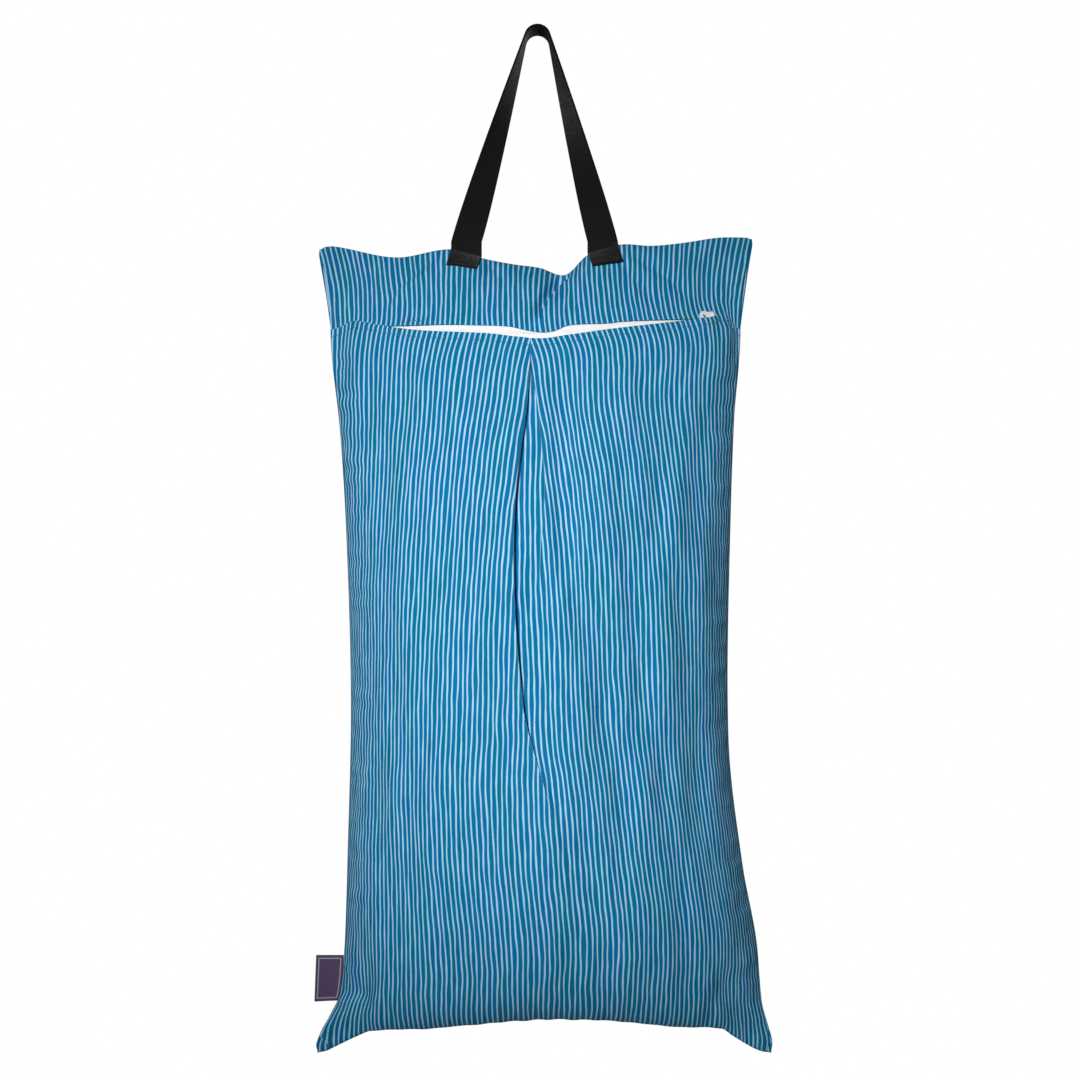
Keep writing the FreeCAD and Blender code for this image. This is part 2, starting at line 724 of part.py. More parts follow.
def make_parts():
    return {
        "strap_loop": strap_loop(),
        "strap_end_left": strap_end(-1),
        "strap_end_right": strap_end(1),
        "strap_stitching_left": strap_stitching(-1),
        "strap_stitching_right": strap_stitching(1),
        "back_panel": back_panel(),
        "front_upper_panel": front_upper_panel(),
        "front_lower_panel": front_lower_panel(),
        "zip_tape_upper": zip_tape(False),
        "zip_tape_lower": zip_tape(True),
        "zip_coil_upper": zip_coil(False),
        "zip_coil_lower": zip_coil(True),
        "zip_bottom_stop": zip_stop(BOTTOM_STOP_X, -STOP_HALF, STOP_HALF),
        "zip_top_stop_upper": zip_stop(TOP_STOP_X, STOP_INNER, STOP_HALF),
        "zip_top_stop_lower": zip_stop(TOP_STOP_X, -STOP_HALF, -STOP_INNER),
        "zip_slider": on_zip(local_slider(), SLIDER_REST_X),
        "zip_pull": on_zip(local_pull(), SLIDER_REST_X),
        "zip_topstitch": zip_topstitch(),
        "seam_allowance_left": side_allowance(LEFT_SEAM, 1),
        "seam_allowance_right": side_allowance(RIGHT_SEAM, -1),
        "seam_allowance_bottom": edge_allowance(BOTTOM_EDGE, 1, BOTTOM_ALLOWANCE_ENDS, ALLOWANCE_INSET),
        "seam_allowance_top": edge_allowance(TOP_EDGE, -1, TOP_ALLOWANCE_ENDS, TOP_ALLOWANCE_INSET),
        "side_label": side_label(),
    }


os.makedirs("parts", exist_ok=True)
for node, solid in make_parts().items():
    solid.exportStep("parts/" + node + ".step")
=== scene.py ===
import math

import bpy
import numpy as np
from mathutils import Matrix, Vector


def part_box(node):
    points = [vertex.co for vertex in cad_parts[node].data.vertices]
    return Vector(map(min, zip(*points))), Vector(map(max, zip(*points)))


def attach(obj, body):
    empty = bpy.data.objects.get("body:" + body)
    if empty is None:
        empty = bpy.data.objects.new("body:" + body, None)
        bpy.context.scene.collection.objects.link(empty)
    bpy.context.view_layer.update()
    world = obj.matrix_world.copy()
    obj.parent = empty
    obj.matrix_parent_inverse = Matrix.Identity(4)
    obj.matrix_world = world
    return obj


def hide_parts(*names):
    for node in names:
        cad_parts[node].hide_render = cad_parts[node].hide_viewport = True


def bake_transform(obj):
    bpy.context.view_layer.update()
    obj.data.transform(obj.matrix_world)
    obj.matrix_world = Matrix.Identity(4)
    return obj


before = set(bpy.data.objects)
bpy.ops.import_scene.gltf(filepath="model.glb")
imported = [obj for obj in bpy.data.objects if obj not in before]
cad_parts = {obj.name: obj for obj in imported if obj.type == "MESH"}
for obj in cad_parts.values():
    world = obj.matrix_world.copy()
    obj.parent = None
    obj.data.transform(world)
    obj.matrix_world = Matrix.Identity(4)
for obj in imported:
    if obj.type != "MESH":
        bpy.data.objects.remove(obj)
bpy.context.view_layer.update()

# Everything is worked out in millimetres, in the frame of the CAD model, and made in metres.
MM = 0.001

# ---------------------------------------------------------------- dimensions
# The outline, seen from the front: (x, z) along the top and bottom, (z, x) down the sides
TOP_EDGE = [
    (-189, -177), (-175, -175.5), (-122, -185), (-75, -178), (-46, -186), (-20, -191),
    (2, -194), (24, -200), (43, -183), (71, -174), (98, -175), (125, -172.5), (156, -168),
    (186, -168),
]
BOTTOM_EDGE = [
    (-191, -871), (-182, -867.5), (-157, -855.5), (-141, -849.5), (-92, -846), (-32, -840),
    (6, -837.5), (62, -839), (118, -845), (158, -848), (168, -854.5), (188, -866), (203, -871),
]
LEFT_SEAM = [
    (-177, -189), (-238, -179), (-307, -172), (-410, -165), (-565, -160.5), (-705, -163.5),
    (-790, -166.5), (-820, -170), (-838, -179), (-849, -185.5), (-863, -191), (-871, -191),
]
RIGHT_SEAM = [
    (-168, 186), (-205, 180), (-273, 172), (-410, 166), (-600, 164), (-705, 176),
    (-770, 188), (-825, 193), (-844, 198), (-858, 202), (-871, 203),
]
CORNERS = [
    # x, z, which way is in, how far the tip is drawn in, and how far along the edges this reaches
    (-189, -177, (0.7, -0.7), 2.0, 4.0), (186, -168, (-0.7, -0.7), 2.0, 4.0),
    (-191, -871, (0.7, 0.7), 2.8, 7.5), (203, -871, (-0.7, 0.7), 2.8, 7.5),
]
EAR_SIZE = 48.0

# Stuffing: how far each face stands out, how far down it is fullest, and its curves above,
# below and across
FRONT_DEPTH = 85.0
BACK_DEPTH = 82.0
FULLEST_AT = 0.62
TOP_POWER = 0.75
BOTTOM_POWER = 2.9
SIDE_ANGLE = math.radians(72)
SKIN_OUT = 1.1
SEAM_OUT = 0.15
SEAM_FADE = 4.0
UPPER_BEND_Y = -2.5

# Cloth: the sizes along which the panels' details are set out, its thickness, and its widths
# when laid flat
UPPER_LENGTH = 70.0
LOWER_LENGTH = 590.0
BACK_LENGTH = 680.0
UPPER_WIDTH = 360.0
BACK_WIDTH = 350.0
CLOTH = 0.45
FLAT_WIDTH = 400.0
UPPER_FLAT_WIDTH = 385.0
# Where each panel lies in the cloth's own coordinates, so that no two panels share stripes
UPPER_CUT = (1.7, 900.0)
BACK_CUT = (200.0, 2000.0)

# Zip
ZIP_MIDDLE = np.array([3.0, -42.0, -255.0])
ZIP_RADIUS = 326.0
ZIP_PLANE_TILT = math.radians(25.7)
ZIP_FACE_TILT = math.radians(22.0)
ZIP_CROSS_TILT = math.radians(1.1)
ZIP_SIDE_Z = -247.0
ZIP_REACH = 156.0
TAPE_REACH = 154.0
COIL_REACH = 152.0
COIL_PITCH = 1.5
COIL_OUT = -1.85
LIP_HOLD = 0.14
LIPS_PARTED = 0.5
PARTED_REACH = 136.0
LIP_LIFT = (0.2, 1.15)
STITCH_BELOW = 5.85
# The cloth swells beside the slider: x of the swelling, half its width, and its height
SLIDER_BUMP = (143.5, 8.5, 2.5)
SLOT_SHARE = (ZIP_SIDE_Z - LEFT_SEAM[0][0]) / (LEFT_SEAM[-1][0] - LEFT_SEAM[0][0])
# How far below the zip's line the lower lip lies, and how far above it the upper lip lies
LOWER_LIP = [
    (-175, 0.1), (-150, 0.6), (-128, 1.7), (-99, 2.3), (-63, 1.3), (-38, 1.9), (-18, 4.4),
    (-3, 6.3), (9, 6.1), (24, 3.8), (38, 2.4), (54, 0.9), (74, -0.1), (94, -0.2), (114, 0.0),
    (131, 0.4), (138, 2.0), (145, 2.6), (151, 1.4), (158, 0.1), (175, 0.1),
]
UPPER_LIP = [
    (-175, 0.0), (-150, -0.4), (-128, -1.5), (-99, 2.1), (-78, 4.6), (-48, 5.6), (-24, 4.9),
    (-14, 2.4), (2, -1.0), (13, -0.2), (24, 4.5), (34, 5.5), (59, 4.8), (69, 5.3), (84, 4.8),
    (104, 3.0), (131, -0.1), (142, 0.0), (149, 1.6), (155, 0.2), (158, 0.0), (175, 0.0),
]

# Inverted box pleat: x of its two folds at each z, how deep its underlay lies, and how wide
# the hollow is
LEFT_FOLD = [
    (-240, -5.3), (-273, -5.3), (-315, -8.4), (-356, -13.9), (-396, -17.9), (-444, -19.3),
    (-492, -17.8), (-539, -13.8), (-571, -9.8), (-628, 6.2), (-677, 18.2), (-760, 32),
    (-880, 40),
]
RIGHT_FOLD = [
    (-240, -5.0), (-273, -5.0), (-305, -1.1), (-347, 3.8), (-380, 6.2), (-412, 4.5),
    (-452, 2.2), (-540, 4), (-571, 8), (-628, 22), (-677, 33), (-760, 46), (-880, 54),
]
PLEAT_DEPTH = [
    (-240, 1.7), (-273, 1.8), (-300, 3.6), (-356, 7), (-440, 9), (-540, 8), (-600, 5.2),
    (-640, 3.0), (-700, 1.5), (-780, 0.5), (-838, 0), (-880, 0),
]
PLEAT_WIDTH = [(-240, 12), (-273, 12), (-356, 22), (-396, 28), (-444, 32), (-571, 38), (-880, 46)]
# Each fold rolls over the hollow, and the roll fades out between two heights
LEFT_CURL_END = (-560.0, -645.0)
RIGHT_CURL_END = (-385.0, -440.0)
# A rolled fold's points: dx from the fold, how far out, and how much of the hollow they follow
CURL = [
    (0.42, -0.4, 0), (0.3, -0.95, 0), (-0.5, -1.15, 0), (-1.8, -1.2, 0.05), (-3.0, -1.3, 0.35),
    (-3.7, -1.5, 0.75), (-3.2, -1.75, 1.0),
]
CURL_DEPTH = 1.75
CURL_END = 2.2
FOLD_GAP = 0.3
FOLD_LIP = 6.0
# Below the zip the folds' swelling and the hollow open over so many millimetres
SWELL_FROM, SWELL_OVER = -240.0, 60.0
OPENS_FROM, OPENS_OVER = -262.0, 30.0
UNDERLAY_DEPTH = 2.6
# Where the hollow's stripes join those of the right side, and where the left side joins too
RIGHT_FOLD_END_Z = -470.0
LEFT_FOLD_END_Z = -655.0
# The stripes fan out below the zip, and run straight down into the ears
FAN = 28.0
FAN_FROM = -258.0
FAN_REACH = 110.0
FAN_AT_SEAM = 0.35
EARS_FROM = -775.0
EAR_GATHER = 30.0

# Webbing
STRAP_WIDTH = 25.4
STRAP_THICKNESS = 1.5
PEG_SEAT_RADIUS = 10.0
STRAP_BASE = {-1: -61.0, 1: 56.0}
FOLD_AXIS_Z = -172.0
FOLD_AXIS_Y = -2.1
TWIST_POWER = 0.75
STRAP_RIBS = 11
STRAP_OVERLAP = 17.0
STRAP_END_LEAN = 0.22
STRAP_END_SPREAD = 1.04
STRAP_END_CLEAR = 0.5

# Label: x of its outer edge at the top and bottom, and its size
LABEL_EDGE_X = (-190.4, -191.9)
LABEL_SIZE = (22.5, 39.0)

# Material: the stripes' pitch, how far they drift and wobble, their half-width, and how much
# that changes, in shares of the pitch; one UV unit in millimetres
STRIPE_PITCH = 4.6
STRIPE_DRIFT = 0.75
STRIPE_WOBBLE = 0.6
STRIPE_HALF = 0.15
STRIPE_UNEVEN = 0.2
UV_UNIT = 100.0


# ---------------------------------------------------------------- numbers
def mix(a, b, t):
    return a + (b - a) * t


def smooth(t):
    t = np.clip(t, 0.0, 1.0)
    return t * t * (3 - 2 * t)


def vec(x, y, z):
    return np.stack(np.broadcast_arrays(*(np.asarray(p, float) for p in (x, y, z))), -1)


def unit(v):
    return v / np.linalg.norm(v, axis=-1, keepdims=True)


def bell(x, width, power=2):
    return np.exp(-((x / width) ** power))


def dome(t, power=2, least=0):
    """1 at 0, falling to its least at 1 with a round shoulder."""
    return np.sqrt(np.clip(1 - np.clip(t, 0, 1) ** power, least, 1))


def clear_of(*edges):
    """1 inside a panel, easing to 0 at each edge over its own width."""
    return math.prod(smooth(distance / width) for distance, width in edges)


def hermite(a, b, slope_a, slope_b, t):
    """A smooth curve from a to b, leaving and arriving with the given slopes."""
    return (
        a * ((1 + 2 * t) * (1 - t) ** 2)
        + b * (t * t * (3 - 2 * t))
        + slope_a * (t * (1 - t) ** 2)
        + slope_b * (t * t * (t - 1))
    )


def along(stations, at):
    """A smooth line through the stations, read at any number of places."""
    points = np.array(sorted(stations), float)
    x, y = points[:, 0], points[:, 1]
    slope = np.empty_like(x)
    slope[1:-1] = (y[2:] - y[:-2]) / (x[2:] - x[:-2])
    slope[0] = (y[1] - y[0]) / (x[1] - x[0])
    slope[-1] = (y[-1] - y[-2]) / (x[-1] - x[-2])
    at = np.clip(at, x[0], x[-1])
    i = np.clip(np.searchsorted(x, at, side="right") - 1, 0, len(x) - 2)
    width = x[i + 1] - x[i]
    return hermite(y[i], y[i + 1], slope[i] * width, slope[i + 1] * width, (at - x[i]) / width)


def run_along(points):
    """Distance along each row of points."""
    steps = np.linalg.norm(np.diff(points, axis=-2), axis=-1)
    return np.concatenate([np.zeros((*steps.shape[:-1], 1)), np.cumsum(steps, -1)], -1)


def ripple(x, z, seed, wave_x, wave_z):
    """A soft random field between about -1 and 1, the same on each run."""
    draw = np.random.default_rng(seed)
    waves, usual_height = 7, 3.2
    total = 0.0
    for _ in range(waves):
        turn = draw.uniform(0, 2 * math.pi)
        stretch = draw.uniform(0.6, 1.7)
        angle = draw.uniform(0, 2 * math.pi)
        cycles = (x / wave_x * math.cos(turn) + z / wave_z * math.sin(turn)) * stretch
        total = total + np.sin(2 * math.pi * cycles + angle)
    return total / usual_height


# ---------------------------------------------------------------- the bag's surfaces
def side_seams(q):
    """x of the left and right seams at share q down, and z of both."""
    left_z = mix(LEFT_SEAM[0][0], LEFT_SEAM[-1][0], q)
    right_z = mix(RIGHT_SEAM[0][0], RIGHT_SEAM[-1][0], q)
    return along(LEFT_SEAM, left_z), along(RIGHT_SEAM, right_z), left_z, right_z


def sag(edge, u):
    """How far an edge runs from the straight line between its ends."""
    (first_x, first_z), (last_x, last_z) = edge[0], edge[-1]
    return along(edge, mix(first_x, last_x, u)) - mix(first_z, last_z, u)


def outline(u, q):
    """x and z in the seam plane at share u across and q down: a patch between four edges."""
    left_x, right_x, left_z, right_z = side_seams(q)
    x = mix(left_x, right_x, u)
    return rounded(x, mix(left_z, right_z, u) + mix(sag(TOP_EDGE, u), sag(BOTTOM_EDGE, u), q))


def rounded(x, z):
    """Draws the four corners of the outline in a little."""
    new_x, new_z = x, z
    for corner_x, corner_z, (in_x, in_z), inward, reach in CORNERS:
        draw = inward * bell(np.hypot(x - corner_x, z - corner_z), reach)
        new_x = new_x + in_x * draw
        new_z = new_z + in_z * draw
    return new_x, new_z


def fullness(u, q):
    """How far the stuffing pushes the skin out, from 0 at the seams to 1."""
    upper = (1 - (1 - np.clip(q / FULLEST_AT, 0, 1)) ** 2) ** TOP_POWER
    lower = dome((q - FULLEST_AT) / (1 - FULLEST_AT), BOTTOM_POWER)
    rim = math.cos(SIDE_ANGLE)
    across = (np.sqrt(1 - ((2 * u - 1) * math.sin(SIDE_ANGLE)) ** 2) - rim) / (1 - rim)
    return np.where(q < FULLEST_AT, upper, lower) * np.clip(across, 0, 1)


def ear(x, z):
    """The bottom corners stay flat, as on a pillow."""
    flat = 1.0
    for corner_x, corner_z in (BOTTOM_EDGE[0], BOTTOM_EDGE[-1]):
        flat = flat * (1 - bell(np.hypot(x - corner_x, z - corner_z), EAR_SIZE))
    return flat


def skin(u, q, depth):
    """The stuffed face, without its folds: the front for a depth below 0, else the back."""
    x, z = outline(u, q)
    out = abs(depth) * fullness(u, q) * ear(x, z)
    rise = SEAM_OUT + (SKIN_OUT - SEAM_OUT) * (1 - np.exp(-out / SEAM_FADE))
    return vec(x, math.copysign(1, depth) * (rise + out), z)


def shares(u, s):
    """Both shares, as arrays of one shape."""
    return np.broadcast_arrays(np.asarray(u, float), np.asarray(s, float))


CROSS = np.array([math.cos(ZIP_CROSS_TILT), 0, math.sin(ZIP_CROSS_TILT)])
INWARD = np.array([0, math.cos(ZIP_PLANE_TILT), math.sin(ZIP_PLANE_TILT)])
INWARD = unit(INWARD - CROSS * (INWARD @ CROSS))
ZIP_AXIS = unit(np.cross(CROSS, INWARD))
ZIP_CENTRE = ZIP_MIDDLE + INWARD * ZIP_RADIUS
FACE_DOWN = np.array([0, -math.sin(ZIP_FACE_TILT), -math.cos(ZIP_FACE_TILT)])
FACE_DOWN = unit(FACE_DOWN - CROSS * (FACE_DOWN @ CROSS))
FACE_OUT = unit(np.cross(FACE_DOWN, CROSS))


def turned(vector, x):
    """A vector of the zip's middle, turned along its arc to x."""
    angle = np.arcsin((np.asarray(x, float) - ZIP_MIDDLE[0]) / ZIP_RADIUS)[..., None]
    on_axis = ZIP_AXIS * (np.asarray(vector) @ ZIP_AXIS)[..., None]
    across_axis = np.cross(ZIP_AXIS, vector)
    return vector * np.cos(angle) + across_axis * np.sin(angle) + on_axis * (1 - np.cos(angle))


def zip_point(x, down=0.0, out=0.0):
    """A point of the zip at x, so far down its face and so far out from it."""
    down = np.asarray(down, float)[..., None]
    out = np.asarray(out, float)[..., None]
    return ZIP_CENTRE + turned(ZIP_MIDDLE - ZIP_CENTRE + FACE_DOWN * down + FACE_OUT * out, x)


def slot_line(x, side_x):
    """The zip's line and the way down the face there, carried on to the side seam."""
    toward = np.where(x > ZIP_MIDDLE[0], 1.0, -1.0)
    end_x = ZIP_MIDDLE[0] + toward * ZIP_REACH
    inside = (np.abs(x - ZIP_MIDDLE[0]) <= ZIP_REACH)[..., None]
    near_x = np.where(inside[..., 0], x, end_x)
    t = np.clip((x - end_x) / (side_x - end_x), 0, 1)[..., None]
    end = zip_point(end_x)
    slope = (end - zip_point(end_x - toward)) * np.abs(side_x - end_x)[..., None]
    at_seam = vec(side_x, -SKIN_OUT, ZIP_SIDE_Z)
    past = hermite(end, at_seam, slope, vec(side_x - end_x, 0, 0), t)
    way_past = unit(turned(FACE_DOWN, end_x) * (1 - t) + np.array([0, 0, -1.0]) * t)
    way = np.where(inside, turned(FACE_DOWN, near_x), way_past)
    return np.where(inside, zip_point(near_x), past), way


def lip(u, below):
    """The edge of the fabric beside the zip, the way down the face there and the way out."""
    left_x = along(LEFT_SEAM, ZIP_SIDE_Z)
    right_x = along(RIGHT_SEAM, ZIP_SIDE_Z)
    x = mix(left_x, right_x, u)
    middle, way = slot_line(x, np.where(x > ZIP_MIDDLE[0], right_x, left_x))
    out = unit(np.cross(way, CROSS))
    away = np.abs(x - ZIP_MIDDLE[0])
    parted = LIPS_PARTED * smooth((PARTED_REACH - away) / 14)
    down = along(LOWER_LIP, x) + parted if below else -along(UPPER_LIP, x) - parted
    # the lips lie low in the middle, where the zip shows, higher over the slider's path
    lift = mix(*LIP_LIFT, smooth((away - 55) / 60)) * (1 - smooth((away - ZIP_REACH - 2) / 14))
    return middle + way * down[..., None] + out * lift[..., None], way, out


def lower_skin(u, s):
    """The front below the zip, without its pleat and small folds."""
    u, s = shares(u, s)
    point = skin(u, mix(SLOT_SHARE, 1.0, s), -FRONT_DEPTH)
    edge, way, _ = lip(u, True)
    start = skin(u, SLOT_SHARE + 0 * u, -FRONT_DEPTH)
    step = 0.002
    speed = (skin(u, mix(SLOT_SHARE, 1.0, step) + 0 * u, -FRONT_DEPTH) - start) / step
    pace = np.linalg.norm(speed, axis=-1, keepdims=True)
    t = np.clip(s / LIP_HOLD, 0, 1)[..., None]
    return point + hermite(edge - start, 0, (way * pace - speed) * LIP_HOLD, 0, t)


def upper_skin(u, s):
    """The front above the zip, from the top seam to the zip's upper lip."""
    u, s = shares(u, s)
    x, z = outline(u, 0 * u)
    top = vec(x, -SKIN_OUT, z)
    edge, way, _ = lip(u, False)
    reach = np.linalg.norm(edge - top, axis=-1, keepdims=True)
    bend = edge - way * (reach / 2)
    bend[..., 1] = np.minimum(bend[..., 1], UPPER_BEND_Y)
    s = s[..., None]
    point = top * ((1 - s) ** 2) + bend * (2 * s * (1 - s)) + edge * (s * s)
    point[..., 1] += (SKIN_OUT - SEAM_OUT) * np.exp(-s[..., 0] * UPPER_LENGTH / 2)
    return point


def back_skin(u, s):
    return skin(*shares(u, s), BACK_DEPTH)


def outward(surface, u, s, front):
    """The unit normal that points away from the bag's inside."""
    d = 0.0015
    u0, u1 = np.clip(u - d, 0, 1), np.clip(u + d, 0, 1)
    s0, s1 = np.clip(s - d, 0, 1), np.clip(s + d, 0, 1)
    across = surface(u1, s) - surface(u0, s)
    down = surface(u, s1) - surface(u, s0)
    normal = np.cross(down, across)
    size = np.linalg.norm(normal, axis=-1, keepdims=True)
    normal = normal / np.maximum(size, 1e-9)
    return normal if front else -normal


# ---------------------------------------------------------------- folds in the fabric
def near_line(points, x, z):
    """Signed distance from a line of (x, z) points, right of it above 0, and the share along it."""
    best = np.full(np.shape(x), 1e9)
    signed = np.full(np.shape(x), 1e9)
    share = np.zeros(np.shape(x))
    lengths = [math.dist(a, b) for a, b in zip(points, points[1:])]
    total, done = sum(lengths), 0.0
    for (ax, az), (bx, bz), length in zip(points, points[1:], lengths):
        wx, wz = (bx - ax) / length, (bz - az) / length
        t = np.clip((x - ax) * wx + (z - az) * wz, 0, length)
        off = np.hypot(x - ax - wx * t, z - az - wz * t)
        side = np.sign((x - ax) * -wz + (z - az) * wx)
        closer = off < best
        best = np.where(closer, off, best)
        signed = np.where(closer, off * side, signed)
        share = np.where(closer, (done + t) / total, share)
        done += length
    return signed, share


def crease(points, x, z, depth, left, right, ridge=0.0):
    """A valley along a line, so wide on each side of it, with a ridge to its right."""
    signed, share = near_line(points, x, z)
    fade = smooth(share / 0.25) * smooth((1 - share) / 0.35)
    width = np.where(signed > 0, right, left)
    return fade * (ridge * bell(signed - right * 1.6, right * 1.2) - depth * bell(signed, width))


def creased(creases, x, z):
    """The creases of a panel, one by one."""
    return [crease(points, x, z, *sizes) for points, *sizes in creases]


def puckers(edge, reach, height, x, z, seed, wave_x, wave_z):
    """Short folds beside a seam, so high and reaching so far from it."""
    return height * bell(edge, reach) * smooth(edge / 4) * ripple(x, z, seed, wave_x, wave_z)


# Each crease: its line, its depth, its widths on the left and right, and its ridge
LOWER_CREASES = [
    ([(2, -318), (9, -350), (24, -444), (52, -570), (84, -690), (100, -760)], 3.4, 9, 13, 0.9),
    ([(30, -640), (44, -700), (60, -775), (70, -820)], 1.8, 8, 10, 0.5),
    ([(14, -330), (38, -430), (62, -540), (90, -640)], 1.6, 12, 14, 0.5),
    ([(110, -420), (122, -520), (128, -640), (140, -730)], 2.8, 10, 14, 0.9),
    ([(66, -400), (84, -520), (104, -640), (122, -760)], 1.8, 9, 12, 0.7),
    ([(38, -560), (54, -640), (74, -730), (86, -800)], 1.5, 8, 10, 0.6),
    ([(-150, -300), (-128, -360), (-118, -450)], 1.2, 10, 12, 0.3),
    ([(148, -290), (132, -370), (128, -480), (136, -560)], 1.4, 10, 12, 0.3),
    ([(-181, -864), (-158, -842), (-143, -806), (-138, -770)], 3.2, 8, 10, 0.8),
    ([(-120, -842), (-126, -822), (-136, -800)], 1.6, 6, 8, 0.5),
    ([(196, -866), (174, -846), (160, -815), (158, -775)], 3.4, 10, 8, 0.8),
    ([(150, -846), (146, -828), (150, -800)], 2.2, 6, 8, 0.6),
    ([(-166, -800), (-150, -812), (-130, -835)], 1.6, 6, 7, 0.5),
]
UPPER_CREASES = [
    ([(28, -198), (20, -206), (13, -214), (7, -223), (2, -233), (-2, -247)], 10.5, 4.2, 3.2, 3.6),
    ([(-82, -180), (-100, -196), (-119, -211), (-129, -228), (-133, -242)], 2.0, 3.5, 3, 0.8),
    ([(-47, -188), (-38, -195), (-30, -205), (-26, -216)], 1.4, 4, 4, 0.4),
    ([(73, -177), (92, -190), (110, -202), (124, -216), (131, -230)], 2.2, 4, 5, 0.9),
    ([(64, -183), (78, -198), (90, -216), (97, -232)], 1.5, 4, 5, 0.5),
]


def lower_details(s, x, z):
    """How far small folds move the lower front outward."""
    left_x, right_x, _, _ = side_seams(mix(SLOT_SHARE, 1.0, s))
    left, right = x - left_x, right_x - x
    low, high = (1 - s) * LOWER_LENGTH, s * LOWER_LENGTH
    inner = clear_of((left, 40), (right, 40), (low, 60), (high, 60))
    out = inner * (2.2 * ripple(x, z, 3, 90, 260) + 0.8 * ripple(x, z, 4, 38, 150))
    for fold in creased(LOWER_CREASES, x, z):
        out = out + fold * smooth(low / 9)
    for edge, seed in ((left, 11), (right, 12)):
        fold = puckers(edge, 20, 0.9, edge * 0.5, z, seed, 60, 17)
        out = out + fold * clear_of((low, 20), (high, 14))
    sides = clear_of((left, 8), (right, 8))
    out = out + puckers(low, 22, 0.8, x, low * 0.5, 13, 19, 60) * sides
    # the thread beside the zip pulls the cloth in, and it puckers on both sides of it
    out = out - 0.45 * bell(high - STITCH_BELOW, 1.3) * clear_of((left, 10), (right, 10))
    out = out + 0.28 * bell(high - 7, 7) * ripple(x, high, 14, 13, 40) * smooth(left / 8)
    bump_x, bump_width, bump_height = SLIDER_BUMP
    return out + bump_height * bell(x - bump_x, bump_width, 4) * smooth(1 - (high - 4.5) / 9)


def pleat_rows(s):
    """Each row's folds: x of both, the depth, the hollow's width and how far each fold curls."""
    left_x, right_x, _, _ = side_seams(mix(SLOT_SHARE, 1.0, s))
    width = right_x - left_x
    z = mix(ZIP_SIDE_Z, -838.0, s)
    for _ in range(3):
        left, right = ((along(fold, z) - left_x) / width for fold in (LEFT_FOLD, RIGHT_FOLD))
        z = lower_skin(left, s)[..., 2]
    left_curl, right_curl = (
        smooth((z - end) / (start - end)) for start, end in (LEFT_CURL_END, RIGHT_CURL_END)
    )
    return {
        "z": z, "left": left, "right": right, "width": width, "depth": along(PLEAT_DEPTH, z),
        "hollow": along(PLEAT_WIDTH, z), "left_curl": left_curl, "right_curl": right_curl,
    }


def eased(count, start, end):
    """Shares from 0 to 1, drawn together near the start and near the end."""
    t = np.linspace(0, 1, count)
    rate = 1 + start * np.exp(-t / 0.08) + end * np.exp(-(1 - t) / 0.08)
    steps = np.concatenate([[0], np.cumsum(1 / ((rate[1:] + rate[:-1]) / 2))])
    return steps / steps[-1]


def lower_rows():
    near = [0, 0.5, 1, 1.8, 2.8, 3.8, 4.7, 5.3, STITCH_BELOW, 6.4, 7, 8, 9.5, 11.5, 14, 17]
    middle = list(np.arange(19.6, 566, 2.6))
    last = list(np.linspace(568, LOWER_LENGTH, 16))
    return np.array(near + middle + last) / LOWER_LENGTH


def front_lower_grid():
    """The lower front with its pleat: its rows, columns, smooth face and points.

    Each column has a kind, a share across and a height above the smooth face, row by row.
    """
    s = lower_rows()
    row = pleat_rows(s)
    z, left, right, width = row["z"], row["left"], row["right"], row["width"]
    left_curl, right_curl = row["left_curl"], row["right_curl"]
    swelling = smooth((SWELL_FROM - z) / SWELL_OVER)
    opened = smooth((OPENS_FROM - z) / OPENS_OVER)
    columns = []

    def hollow(at):
        """How far out the hollow's floor lies at a share across."""
        dx = np.maximum((at - left) * width, 0)
        floor = -row["depth"] * (1 - smooth(dx / row["hollow"]))
        return floor * mix(smooth(dx / FOLD_LIP), 1.0, left_curl)

    for t in eased(96, 1.5, 2.2):
        dx = (t - 1) * left * width
        columns.append(("left", t * left, 1.4 * left_curl * bell(dx + 7, 6) * swelling))
    deep = np.maximum(row["depth"] - CURL_DEPTH, 0)
    for i, (dx, out, follows) in enumerate(CURL):
        step = FOLD_GAP * (i + 1)
        flat = -row["depth"] * (1 - smooth(step / row["hollow"])) * smooth(step / FOLD_LIP)
        at = left + mix(step, dx, left_curl) / width
        columns.append(("curl", at, mix(flat, out - deep * follows, left_curl)))
    gap = FOLD_GAP * (len(CURL) + 1)
    left_end = left + mix(gap, -CURL_END, left_curl) / width
    right_end = right + mix(-gap, CURL_END, right_curl) / width
    for t in np.linspace(0, 1, 18):
        at = mix(left_end, right_end, t)
        drop = right_curl * mix(CURL_DEPTH, UNDERLAY_DEPTH, opened) * smooth(t * 1.1)
        columns.append(("under", at, np.minimum(hollow(at), 0) - drop * opened))
    for i, (dx, out, follows) in reversed(list(enumerate(CURL))):
        at = right - mix(FOLD_GAP * (i + 1), dx, right_curl) / width
        floor = hollow(at)
        rolled = np.minimum(out - follows, 0) + floor * opened
        columns.append(("curl", at, mix(floor, rolled, right_curl)))
    for t in eased(100, 2.2, 1.5):
        at = mix(right, 1.0, t)
        dx = (at - right) * width
        roll = 0.8 * right_curl * bell(dx - 6, 5) * swelling
        columns.append(("right", at, hollow(at) * opened + roll))
    kinds = np.array([c[0] for c in columns])
    u = np.stack([c[1] for c in columns], 1)
    out = np.stack([c[2] for c in columns], 1)
    down = np.repeat(s[:, None], len(columns), 1)
    base = lower_skin(u, down)
    normal = outward(lower_skin, u, down, True)
    detail = lower_details(down, base[..., 0], base[..., 2])
    points = base + normal * (out + detail)[..., None]
    return s, kinds, u, row, base, points


